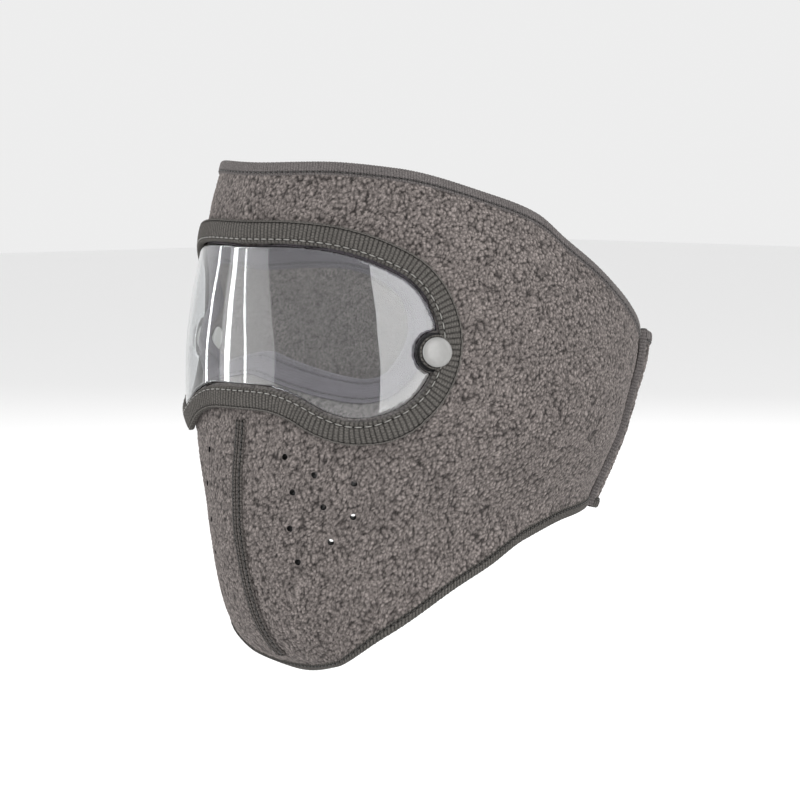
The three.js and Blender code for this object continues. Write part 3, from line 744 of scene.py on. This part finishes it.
def band(name, place, along, profile, pitch, depth, grooves=(), ring=False, loops=1.1, wander=0.0):
    """A ribbed band with a closed section, whose rows are [across, height].

    place maps (position along, across, height) to points.
    """
    tangent = np.roll(profile, -1, axis=0) - np.roll(profile, 1, axis=0)
    tangent /= np.maximum(np.linalg.norm(tangent, axis=1, keepdims=True), 1e-6)
    outward = np.stack([-tangent[:, 1], tangent[:, 0]], -1)
    area = np.sum(profile[:, 0] * np.roll(profile[:, 1], -1) - np.roll(profile[:, 0], -1) * profile[:, 1])
    if area > 0:
        outward = -outward
    run = np.concatenate([[0], np.cumsum(np.linalg.norm(np.diff(profile, axis=0), axis=1))])
    u = along[:, None]
    sway = wander * np.sin(u / 7.3 + 1.1 * run[None, :] / 3)
    ribs = rib_profile((u + sway) / pitch)
    stitch = 0.82 + 0.18 * np.cos(2 * np.pi * run[None, :] / loops + np.pi * np.floor((u + sway) / pitch))
    level = ribs * stitch
    # each groove sinks the surface and lowers its level, which paints shade into it
    for across, width, sink in grooves:
        sunk = np.exp(-((profile[:, 0] - across) / width) ** 2) * (profile[:, 1] > profile[:, 1].mean())
        level = level * (1 - 0.75 * sunk[None, :]) - sink * sunk[None, :]
    rise = depth * (level - 0.6)
    across = profile[None, :, 0] + outward[None, :, 0] * rise
    height = profile[None, :, 1] + outward[None, :, 1] * rise
    points = place(u + 0 * across, across, height)
    rows, columns = level.shape
    faces = grid_faces(rows, columns + 1, wrap=ring)
    row, column = np.divmod(faces, columns + 1)
    faces = row * columns + column % columns
    piece = new_mesh(name, points.reshape(-1, 3), faces)
    paint(piece, np.clip(level.reshape(-1), 0, 1))
    return piece


def rounded_section(low, high, inner, outer, round_off, count=44, puff=0.0):
    """Closed section of a folded band: a rounded rectangle whose outer side may swell."""
    corners = [(high - round_off, outer - round_off, 0), (low + round_off, outer - round_off, 90),
               (low + round_off, inner + round_off, 180), (high - round_off, inner + round_off, 270)]
    points = []
    for x, h, start in corners:
        for step in range(7):
            angle = math.radians(start + 15 * step)
            points.append((x + round_off * math.cos(angle), h + round_off * math.sin(angle)))
    section = even_loop(np.array(points), count)
    middle = (section[:, 0] - (low + high) / 2) / ((high - low) / 2)
    section[:, 1] += puff * np.clip(1 - middle ** 2, 0, 1) * (section[:, 1] > (inner + outer) / 2)
    return section


class LoopPath:
    """Position along a flat loop, distance outside it and height, to a point on the head."""

    def __init__(self, loop):
        dense = even_loop(loop, 1600)
        self.loop, self.out = dense, loop_outward(dense)
        for _ in range(12):
            self.out = (np.roll(self.out, 1, axis=0) + self.out + np.roll(self.out, -1, axis=0)) / 3
        self.out /= np.linalg.norm(self.out, axis=1, keepdims=True)
        closed = np.vstack([dense, dense[:1]])
        self.run = np.concatenate([[0], np.cumsum(np.linalg.norm(np.diff(closed, axis=0), axis=1))])
        self.length = self.run[-1]

    def flat(self, along, across):
        at = np.mod(along, self.length)
        x, y = (np.interp(at, self.run, np.append(self.loop[:, k], self.loop[0, k])) for k in (0, 1))
        nx, ny = (np.interp(at, self.run, np.append(self.out[:, k], self.out[0, k])) for k in (0, 1))
        return np.stack([x + nx * across, y + ny * across], -1)

    def __call__(self, along, across, height):
        return flat_to_face(self.flat(along, across), height)


visor_path = LoopPath(visor_loop)
eye_path = LoopPath(eye_loop)


def in_tab_room(flat, radius, back):
    """Whether flat points lie in the half-disc round a press stud, which runs outwards as far as back."""
    dx = np.abs(flat[..., 0]) - math.radians(SNAP_ANGLE) * FLAT_RADIUS
    dz = flat[..., 1] - SNAP_Z
    return ((np.hypot(dx, dz) < radius) & (dx <= 0)) | ((dx > 0) & (dx < back) & (np.abs(dz) < radius))


def stitch_row(threads, path, starts, across, height, length, radius, arch=0.14, steps=5):
    """Stitches at these places along a path, arched a little over the cloth."""
    middle = steps // 2
    rise = arch * np.sin(np.linspace(0, np.pi, steps))
    for start in starts:
        s = start + np.linspace(0, length, steps)
        strand = path(s, np.full(steps, across), height + rise)
        foot = path(s[middle:middle + 1], np.array([across]), np.array([height - 1.0]))[0]
        out = strand[middle] - foot
        threads.add(strand, radius, out / np.linalg.norm(out))


RIM_STITCH = 1.45   # distance of the rim's stitches from its inner edge


def build_rim():
    ribs = round(visor_path.length / 1.75)
    pitch = visor_path.length / ribs
    along = np.arange(ribs * 8) * pitch / 8
    section = rounded_section(0.0, RIM_WIDTH, 0.75, RIM_OUT, 0.9, 48, 0.35)
    grooves = [(RIM_STITCH, 0.3, 0.1), (7.9, 0.25, 0.3)]
    rim = band("visor_rim", visor_path, along, section, pitch, 0.5, grooves, ring=True, wander=0.15)
    dress(rim, RIB_MAT, "root", ["visor_rim"])
    threads = Thread()
    starts = np.arange(0, visor_path.length - 3, 3.6)
    stitch_row(threads, visor_path, starts, RIM_STITCH, RIM_OUT + 0.05, 2.7, 0.22, 0.2, 6)
    stitches = dress(threads.piece("rim_stitches"), GREY_THREAD, "root")
    cord = Thread(8)
    s = np.linspace(0, visor_path.length, 900)
    across = np.full(900, RIM_WIDTH - 0.55)
    path = visor_path(s, across + 0.05 * np.sin(s / 0.5), np.full(900, RIM_OUT - 0.05))
    out = path - visor_path(s, across, np.zeros(900))
    cord.add(path, 0.26, out / np.linalg.norm(out, axis=1, keepdims=True))
    ridge = dress(cord.piece("rim_ridge"), RIB_MAT, "root")
    paint(ridge, np.full(len(ridge.data.vertices), 0.9))
    return [rim, stitches, ridge]


rim_pieces = build_rim()


def build_lens():
    """A thin sheet whose outline runs along the rim, less a round notch at each press stud."""
    along = np.linspace(0, visor_path.length, 1400, endpoint=False)
    outline = even_loop(visor_path.flat(along, np.full(1400, -LENS_EDGE_GAP)), 1400)
    columns, rows = 220, 110
    x, y = np.meshgrid(np.linspace(-92, 92, columns), np.linspace(-27, 48, rows), indexing="ij")
    x, y = x.ravel(), y.ravel()
    faces = grid_faces(columns, rows)
    coarse = even_loop(outline, 260)
    inside = signed_distance(coarse, x, y) < 0
    faces = faces[inside[faces].all(1)]
    used = np.zeros(len(x), int)
    np.add.at(used, faces.ravel(), 1)
    edge = np.flatnonzero((used > 0) & (used < 4))
    x[edge], y[edge] = pull_to(coarse, x[edge], y[edge], 0)
    for side in (-1, 1):
        notch = circle_loop(side * SNAP_ANGLE, SNAP_Z, LENS_NOTCH_RADIUS, 60)
        faces = cut_hole(x, y, faces, notch, 0.0)
    faces, (x, y) = keep_used(faces, x, y)
    count = len(x)
    outer = flat_to_face(np.stack([x, y], -1), np.full(count, LENS_OUT))
    inner = flat_to_face(np.stack([x, y], -1), np.full(count, LENS_IN))
    lens = new_mesh("visor_lens", np.concatenate([outer, inner]), two_sided(faces, count))
    dress(lens, LENS_MAT, "visor", ["visor_lens"])


build_lens()


def build_eye_binding():
    """Smooth knit folded over the eye opening's edge, with a line of stitches near its outer side."""
    count = 1100
    along = np.linspace(0, eye_path.length, count, endpoint=False)
    middle = np.linspace(0.9, EYE_BINDING_WIDTH - 0.3, 40)
    across = np.concatenate([[0.5, 0.1, 0.0, 0.15, 0.5], middle, [EYE_BINDING_WIDTH, EYE_BINDING_WIDTH]])
    height = np.concatenate([[-2.4, -1.6, -0.6, 0.5, 1.0], np.full(40, 1.35), [1.15, 0.4]])
    u = along[:, None]
    flat = eye_path.flat(u + 0 * across[None, :], across[None, :] + 0 * u)
    near_tab = in_tab_room(flat, TAB_RADIUS + 1.6, 12)
    deg = np.degrees(flat[..., 0] / FLAT_RADIUS)
    fine = 0.5 + 0.5 * np.cos(2 * np.pi * (across[None, :] / 0.85 + 0.06 * np.sin(u / 5)))
    knit = 0.6 + 0.4 * np.cos(2 * np.pi * u / 1.15 + np.pi * np.floor(across[None, :] / 0.85))
    level = 0.45 + 0.5 * fine * knit
    # the two stitch lines sink a little and are darkened: painted shade in their grooves
    for place, width in ((EYE_BINDING_WIDTH - 1.7, 0.35), (1.7, 0.3)):
        level = level * (1 - 0.85 * np.exp(-((across[None, :] - place) / width) ** 2))
    rise = LINING_OUT + height[None, :] - lining_dip(deg, flat[..., 1]) + 0.22 * (level - 0.5)
    rise = np.where(near_tab, np.minimum(rise, LINING_OUT + 0.1), rise)
    points = flat_to_face(flat, rise)
    rows, columns = level.shape
    piece = new_mesh("eye_binding", points.reshape(-1, 3), grid_faces(rows, columns, wrap=True)[:, ::-1])
    paint(piece, level.reshape(-1))
    dress(piece, EYE_KNIT_MAT, "root", ["eye_binding"])
    threads = Thread()
    for place in (EYE_BINDING_WIDTH - 1.7, 1.7):
        for start in np.arange(0, eye_path.length - 2.5, 3.0):
            s = start + np.linspace(0, 2.1, 5)
            flat = eye_path.flat(s, np.full(5, place))
            if in_tab_room(flat, TAB_RADIUS + 2, 12).any():
                continue
            base = LINING_OUT + 1.32 - lining_dip(np.degrees(flat[:, 0] / FLAT_RADIUS), flat[:, 1])
            path = flat_to_face(flat, base + 0.12 * np.sin(np.linspace(0, np.pi, 5)))
            out = face_normal(np.degrees(flat[2:3, 0] / FLAT_RADIUS), flat[2:3, 1])[0]
            threads.add(path, 0.17, out)
    stitches = dress(threads.piece("eye_binding_stitches"), DARK_THREAD, "root")
    return [piece, stitches]


eye_pieces = build_eye_binding()


class EdgePath:
    """Position along the mask's top or bottom edge, distance up from it and height, to a point."""

    scale = 1.45   # millimetres along the edge to a degree, near enough for spacing the ribs

    def __init__(self, edge, lift):
        self.edge, self.lift = edge, lift

    def __call__(self, along, across, height):
        deg = along / self.scale
        return over_face(deg, climb(deg, self.edge(deg), across), height + self.lift(deg))


BINDING_STITCH, HEM_STITCH = 1.1, 1.0   # distance of the stitches from the inner edge of binding and hem


def smooth_band(name, place, along, section, stitch_line):
    grooves = [(stitch_line, 0.35, 0.5)]
    return band(name, place, along, section, 1.25, 0.26, grooves, loops=0.9, wander=0.2)


def build_edge(prefix, first, last, inner, outer, lift, body):
    """Top binding and bottom hem between two angles, with their stitches."""
    made = []
    top = EdgePath(top_edge, lift)
    bottom = EdgePath(bottom_edge, lift)
    steps = int((last - first) * EdgePath.scale / 0.2)
    along = np.linspace(first, last, steps) * EdgePath.scale
    section = rounded_section(-TOP_BINDING, 0.3, inner, outer, 0.9, 48, 0.35)
    binding_line, hem_line = BINDING_STITCH - TOP_BINDING, BOTTOM_BINDING - HEM_STITCH
    piece = smooth_band(f"{prefix}top_binding", top, along, section, binding_line)
    made.append(dress(piece, SMOOTH_MAT, body, [f"{prefix}top_binding"]))
    section = rounded_section(-0.3, BOTTOM_BINDING, inner, outer, 0.9, 44, 0.35)
    grooves = [(hem_line, 0.35, 0.4)]
    piece = band(f"{prefix}bottom_hem", bottom, along, section, 1.6, 0.36, grooves, wander=0.15)
    made.append(dress(piece, RIB_MAT, body, [f"{prefix}bottom_hem"]))
    threads = Thread()
    start, end = first * EdgePath.scale + 1, last * EdgePath.scale - 0.5
    stitch_row(threads, top, np.arange(start, end - 2.1, 2.9), binding_line, outer + 0.12, 2.1, 0.17)
    stitch_row(threads, bottom, np.arange(start, end - 2.2, 3.0), hem_line, outer + 0.14, 2.2, 0.17)
    made.append(dress(threads.piece(f"{prefix}edge_stitches"), DARK_THREAD, body))
    return made


def no_lift(deg):
    return 0 * deg


EDGE_IN, EDGE_OUT = LINING_IN - 0.3, 0.55
root_edges = build_edge("", WING_SPLIT - 360, LEFT_END, EDGE_IN, EDGE_OUT, no_lift, "root")
wing_edges = build_edge("wing_", FLAP_SPLIT, WING_SPLIT, EDGE_IN, EDGE_OUT, wing_lift, None)
flap_edges = build_edge("flap_", FLAP_END, FLAP_SPLIT, -FLEECE - 0.35, EDGE_OUT, flap_lift, None)


def build_end_binding(name, body, angle, towards, inner, outer, lift):
    """Binding up a free end; across runs from the end to the cloth, where the angle grows or falls."""
    low, high = float(bottom_edge(angle)), float(top_edge(angle))

    def place(along, across, height):
        per_degree = np.radians(head_radius(angle, along))
        return over_face(angle + towards * across / per_degree, along, height + lift)

    along = np.linspace(low + 0.2, high - 0.2, int((high - low) / 0.2))
    section = rounded_section(0.0, END_BINDING, inner, outer, 0.7, 44, 0.25)
    stitch_line = END_BINDING - BINDING_STITCH
    piece = smooth_band(name, place, along, section, stitch_line)
    dress(piece, SMOOTH_MAT, body, [name])
    threads = Thread()
    stitch_row(threads, place, np.arange(low + 1, high - 3, 2.9), stitch_line, outer + 0.1, 2.1, 0.17)
    return [piece, dress(threads.piece(f"{name}_stitches"), DARK_THREAD, body)]


left_end = build_end_binding("left_end_binding", "root", LEFT_END + 3.0, -1, LINING_IN, 0.0, 0.0)
flap_end = build_end_binding("flap_end_binding", "flap", FLAP_END - 0.2, 1, FLAP_IN - 0.3, FLAP_OUT + 0.55,
                             -PRESSED_DOWN)


# ---- centre seam: a flat felled strip with two rows of cover stitches ----
SEAM_LOW, SEAM_HIGH, SEAM_HALF = -119.0, -24.6, 2.8


def build_centre_seam():
    def place(along, across, height):
        return over_face(across / np.radians(head_radius(0, along)), along, height)

    along = np.linspace(SEAM_LOW, SEAM_HIGH, 520)
    section = rounded_section(-SEAM_HALF, SEAM_HALF, 0.1, 0.95, 0.35, 48, 0.35)
    grooves = [(-1.75, 0.4, 0.6), (1.75, 0.4, 0.6), (0, 0.3, 0.5)]
    piece = band("centre_seam", place, along, section, 1.5, 0.45, grooves, loops=1.4, wander=0.4)
    dress(piece, SEAM_MAT, "root", ["centre_seam"])
    threads = Thread()
    for side in (-1, 1):
        for start in np.arange(SEAM_LOW + 0.6, SEAM_HIGH - 2.6, 2.75):
            s = start + np.linspace(0, 2.1, 5)
            strand = place(s, np.full(5, side * 1.7), 1.0 + 0.14 * np.sin(np.linspace(0, np.pi, 5)))
            threads.add(strand, 0.22, face_normal(0.0, s[2:3])[0])
            cross = np.array([0.0, side * 0.8, side * 1.7])
            strand = place(np.linspace(s[0] - 0.6, s[0], 3), cross, np.array([0.95, 1.1, 0.95]))
            threads.add(strand, 0.14, face_normal(0.0, s[2:3])[0])
    stitches = dress(threads.piece("centre_seam_stitches"), DARK_THREAD, "root")
    return [piece, stitches]


seam_pieces = build_centre_seam()


# ---- turned parts ----
def turned(name, profile, deg, z, sides=64, wobble=None):
    """Turned part standing on the face; profile rows are [radius, height].

    wobble gives a share of the radius to add at each angle of turn.
    """
    foot = face_point(deg, z)
    normal = face_normal(deg, z)
    side = np.cross([0, 0, 1.0], normal)
    side /= np.linalg.norm(side)
    up = np.cross(normal, side)
    turn = np.arange(sides) * 2 * np.pi / sides
    radius = profile[None, :, 0] * (1 + (wobble(turn)[:, None] if wobble else 0))
    around = np.cos(turn)[:, None, None] * side + np.sin(turn)[:, None, None] * up
    points = foot + radius[..., None] * around + profile[None, :, 1, None] * normal
    return new_mesh(name, points.reshape(-1, 3), grid_faces(sides, len(profile), wrap=True))


def fine_profile(rows, per_corner=4, bevel=0.12):
    """Rounds the corners of a turned section."""
    rows = [np.array(r, float) for r in rows]
    out = [rows[0]]
    for before, corner, after in zip(rows, rows[1:], rows[2:]):
        a, b = before - corner, after - corner
        reach = min(bevel, np.linalg.norm(a) * 0.45, np.linalg.norm(b) * 0.45)
        start, end = corner + a / np.linalg.norm(a) * reach, corner + b / np.linalg.norm(b) * reach
        for t in np.linspace(0, 1, per_corner):
            out.append((1 - t) ** 2 * start + 2 * t * (1 - t) * corner + t * t * end)
    out.append(rows[-1])
    return np.array(out)


# Sections of the press stud's pieces: [radius, height over the face].
CAP_PROFILE = fine_profile([
    [0.01, 1.2], [1.4, 1.2], [1.4, 3.5], [CAP_RADIUS - 0.6, 3.4], [CAP_RADIUS, 3.7], [CAP_RADIUS + 0.02, 4.0],
    [CAP_RADIUS - 0.25, 4.45], [CAP_RADIUS - 0.85, 4.85], [CAP_RADIUS - 1.8, 5.2], [2.2, 5.45],
    [0.01, 5.55]], 6, 0.3)
SOCKET_PROFILE = fine_profile([
    [1.75, 1.35], [1.75, 1.0], [3.2, 0.8], [3.2, 0.3], [4.4, 0.3], [4.4, 1.35], [1.75, 1.35]])
STUD_PROFILE = fine_profile([
    [1.75, -0.3], [2.9, -0.3], [2.9, 0.0], [2.5, 0.1], [2.5, 0.6], [1.75, 0.6], [1.75, -0.3]])
POST_PROFILE = fine_profile([
    [0.01, -6.9], [4.6, -6.9], [5.0, -6.5], [5.0, -6.1], [1.4, -5.9], [1.4, 0.3], [0.01, 0.3]])


def build_tab(name, side, radius, back, low, high, ribs, mat, body):
    """Cloth tab round a press stud, round towards the eye; its middle is pinched under the stud."""
    centre = side * math.radians(SNAP_ANGLE) * FLAT_RADIUS
    turns, rings = 120, 26
    angle = np.arange(turns) * 2 * np.pi / turns
    dx, dz = np.cos(angle), np.sin(angle)
    reach = np.full(turns, radius)
    square = dx * side > 0
    reach[square] = np.minimum(back / np.maximum(np.abs(dx[square]), 1e-3),
                               radius / np.maximum(np.abs(dz[square]), 1e-3))
    shares = np.concatenate([np.linspace(0.29, 1, rings), [1.0, 0.97, 0.29]])
    middle = (low + high) / 2
    top = high - 0.12 * np.clip((np.linspace(0.29, 1, rings) - 0.9) / 0.1, 0, 1) ** 2
    heights = np.concatenate([top, [middle, low, low]])
    r = reach[:, None] * shares[None, :]
    x, y = centre + r * dx[:, None], SNAP_Z + r * dz[:, None]
    level = rib_profile(y / ribs) * (0.8 + 0.2 * np.cos(2 * np.pi * x / 1.1))
    # a line 1 mm inside the edge sinks and is darkened: painted shade in its groove
    edge_line = np.exp(-((r - (reach[:, None] - 1.0)) / 0.3) ** 2)
    level = np.clip(level * (1 - 0.7 * edge_line), 0, 1)
    h = heights[None, :] + np.where(np.arange(len(shares))[None, :] < rings, 0.25 * (level - 0.6), 0)
    points = flat_to_face(np.stack([x, y], -1), h)
    piece = new_mesh(name, points.reshape(-1, 3), grid_faces(turns, len(shares), wrap=True)[:, ::-1])
    paint(piece, level.reshape(-1))
    dress(piece, mat, body, [name])


for side, hand in ((1, "left"), (-1, "right")):
    deg = side * SNAP_ANGLE
    tab_body = f"snap_tab_{hand}"
    build_tab(f"snap_tongue_{hand}", side, TAB_RADIUS, TAB_RADIUS, 2.2, RIM_OUT + 0.1, 1.5,
              RIB_MAT, tab_body)
    build_tab(f"stud_tab_{hand}", side, TAB_RADIUS + 1.2, 7.5, -1.7, -0.8, 0.9, TAPE_MAT, "root")
    for part, profile, mat, slot_name, body in (
            ("snap_cap", CAP_PROFILE, CAP_MAT, "snap_cap", tab_body),
            ("snap_socket", SOCKET_PROFILE, STUD_MAT, "snap_inner", tab_body),
            ("snap_stud", STUD_PROFILE, STUD_MAT, "snap_inner", "root"),
            ("snap_post", POST_PROFILE, STUD_MAT, "snap_inner", "root")):
        dress(turned(f"{part}_{hand}", profile, deg, SNAP_Z), mat, body, [f"{part}_{hand}"])


# Each breathing hole has a melted, slightly raised edge that runs through both layers of cloth; the ring
# keeps the edge's own colour, and the wall down the hole is painted near-black, painted shade.
VENT_PROFILE = fine_profile([[1.6, -0.4], [1.55, 0.05], [1.38, 0.2], [1.2, 0.1], [1.08, -0.2], [1.05, -2.0],
                             [1.05, -4.7], [1.3, -5.0], [1.6, -4.5]], 4, 0.15)
# 0.75 on the ring round the hole; 0 on the wall down the hole, where it paints shade
VENT_RING_AND_SHADE_LEVEL = np.where(VENT_PROFILE[:, 0] > 1.25, 0.75, 0.0)
VENT_SIDES = 40


def build_vent_edge(index, deg, z):
    def wobble(turn):
        return 0.05 * np.sin(3 * turn + index) + 0.035 * np.sin(7 * turn + 2.1 * index)

    edge = turned(f"vent_edge_{index + 1:02d}", VENT_PROFILE, deg, z, VENT_SIDES, wobble)
    paint(edge, np.tile(VENT_RING_AND_SHADE_LEVEL, VENT_SIDES))
    dress(edge, VENT_EDGE_AND_SHADE_MAT, "root")


for index, (deg, z) in enumerate(VENT_PLACES):
    build_vent_edge(index, deg, z)


# ---- hook and loop tapes ----
def build_tape(name, inner, outer, facing, body, mat):
    """A strip of tape between two heights, rough on the side that facing names."""
    first, last = FLAP_END + 3, LEFT_END - 2
    columns, rows = 150, 120
    deg = np.linspace(first, last, columns)[:, None]
    low = climb(deg, bottom_edge(deg), BOTTOM_BINDING + 2.9)
    high = climb(deg, top_edge(deg), -TOP_BINDING - 2.7)
    z = low + (high - low) * np.linspace(0, 1, rows)[None, :]
    deg = deg + 0 * z
    face = over_face(deg, z, outer if facing > 0 else inner)
    lift, level = pile(face.reshape(-1, 3) * 1.7, 0.16)
    face = face + face_normal(deg, z) * (facing * lift.reshape(deg.shape))[..., None]
    back = over_face(deg, z, inner if facing > 0 else outer)
    count = columns * rows
    faces = two_sided(grid_faces(columns, rows), count)
    if facing < 0:
        faces = [f[::-1] for f in faces]
    piece = new_mesh(name, np.concatenate([face.reshape(-1, 3), back.reshape(-1, 3)]), faces)
    paint(piece, np.concatenate([level, np.full(count, 0.5)]))
    return dress(piece, mat, body, [name])


def tape_points(count, seed):
    """Scattered places on the tapes: angle, height and a turn on the spot."""
    draw = np.random.RandomState(seed)
    deg = FLAP_END + 3.6 + (LEFT_END - FLAP_END - 6.2) * draw.rand(count)
    low = climb(deg, bottom_edge(deg), BOTTOM_BINDING + 3.4)
    high = climb(deg, top_edge(deg), -TOP_BINDING - 3.2)
    return deg, low + (high - low) * draw.rand(count), draw.rand(count) * 2 * np.pi


def build_loops():
    """The loop tape's nap: small standing loops of yarn, turned every way."""
    threads = Thread(3)
    for deg, z, turn in zip(*tape_points(1500, 21)):
        foot, normal = over_face(deg, z, LOOP_OUT), face_normal(deg, z)
        side = np.cross(normal, [math.cos(turn), math.sin(turn), 0.4])
        side /= np.linalg.norm(side)
        angle = np.linspace(-0.6, np.pi + 0.6, 7)
        path = foot + 0.42 * np.cos(angle)[:, None] * side + (0.1 + 0.28 * np.sin(angle))[:, None] * normal
        threads.add(path, 0.06, np.cross(side, normal))
    return dress(threads.piece("loop_tape_nap"), TAPE_MAT, "root")


def build_hooks():
    """The hook tape's hooks: stiff bent stalks in rows that all point to the flap's end."""
    threads = Thread(3)
    rows, across = 30, 44
    for row in range(rows):
        for place in range(across):
            deg = FLAP_END + 3.8 + (LEFT_END - FLAP_END - 6.8) * (place + 0.5 * (row % 2)) / across
            low = climb(deg, bottom_edge(deg), BOTTOM_BINDING + 3.6)
            high = climb(deg, top_edge(deg), -TOP_BINDING - 3.4)
            z = low + (high - low) * (row + 0.5) / rows
            normal = face_normal(deg, z)
            ahead = face_point(deg - 0.3, z) - face_point(deg, z)
            ahead /= np.linalg.norm(ahead)
            angle = np.linspace(0, 4.0, 6)
            drop = 0.1 + 0.28 * np.sin(np.clip(angle, 0, np.pi / 2))
            drop = np.where(angle > np.pi / 2, 0.1 + 0.28 * np.sin(angle), drop)
            path = (over_face(deg, z, HOOK_IN) + 0.2 * (1 - np.cos(angle))[:, None] * ahead
                    - drop[:, None] * normal)
            threads.add(path, 0.07, np.cross(ahead, normal))
    return dress(threads.piece("hook_tape_hooks"), HOOK_MAT, "flap")


loop_tape = build_tape("loop_tape", LOOP_IN, LOOP_OUT, 1, "root", TAPE_MAT)
hook_tape = build_tape("hook_tape", HOOK_IN, HOOK_OUT, -1, "flap", HOOK_MAT)
loop_nap = build_loops()
hooks = build_hooks()


# ---- cloth that crosses a joint: its placement baked into its mesh ----
def crossing(piece, first, last, z):
    """Bakes the piece's placement into its mesh."""
    start, end = (Vector((face_point(d, z) * MM).tolist()) for d in (first, last))
    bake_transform(piece)


for piece in (fleece_wing, lining_wing, *wing_edges):
    crossing(piece, 256, 234, -7.5)
for piece in (fleece_flap, lining_flap, *flap_edges):
    crossing(piece, 200, 184, -33)


# ---- room: pale floor and soft lamps ----
def panel(name, azimuth, elevation, distance, size, power):
    """A soft panel lamp that faces the object from this direction, in degrees as for the camera."""
    data = bpy.data.lights.new(name, "AREA")
    data.shape = "RECTANGLE"
    data.size, data.size_y = size
    data.energy = power
    away = direction(azimuth, elevation)
    light = bpy.data.objects.new(name, data)
    bpy.context.scene.collection.objects.link(light)
    light.location = away * distance
    light.rotation_euler = away.to_track_quat("Z", "Y").to_euler()


FLOOR_HEIGHT = -0.22   # metres; the mask hangs above it, as if worn


def build_room():
    bpy.ops.mesh.primitive_plane_add(size=12, location=(0, 0, FLOOR_HEIGHT))
    floor = bpy.context.object
    floor.name = "floor"
    floor.data.materials.append(material("pale_floor", (0.92, 0.92, 0.92), 0.9)[0])
    world = bpy.data.worlds.new("studio")
    bpy.context.scene.world = world
    world.use_nodes = True
    background = world.node_tree.nodes["Background"]
    background.inputs["Color"].default_value = (1, 1, 1, 1)
    background.inputs["Strength"].default_value = 0.85
    panel("key", 56, 17, 2.1, (1.3, 2.0), 38)
    panel("side", 118, 30, 1.8, (0.6, 1.4), 8)
    panel("far_soft", -44, 8, 2.4, (1.5, 1.6), 12)
    panel("far_side", -55, 10, 1.9, (0.11, 1.7), 10)
    panel("far_streak", -45, 8, 1.9, (0.035, 1.6), 2.5)
    panel("far_edge", -74, 6, 1.9, (0.05, 1.7), 4)
    panel("back", 215, 32, 2.2, (1.4, 1.2), 12)


build_room()
bpy.context.scene.view_settings.view_transform = "Standard"
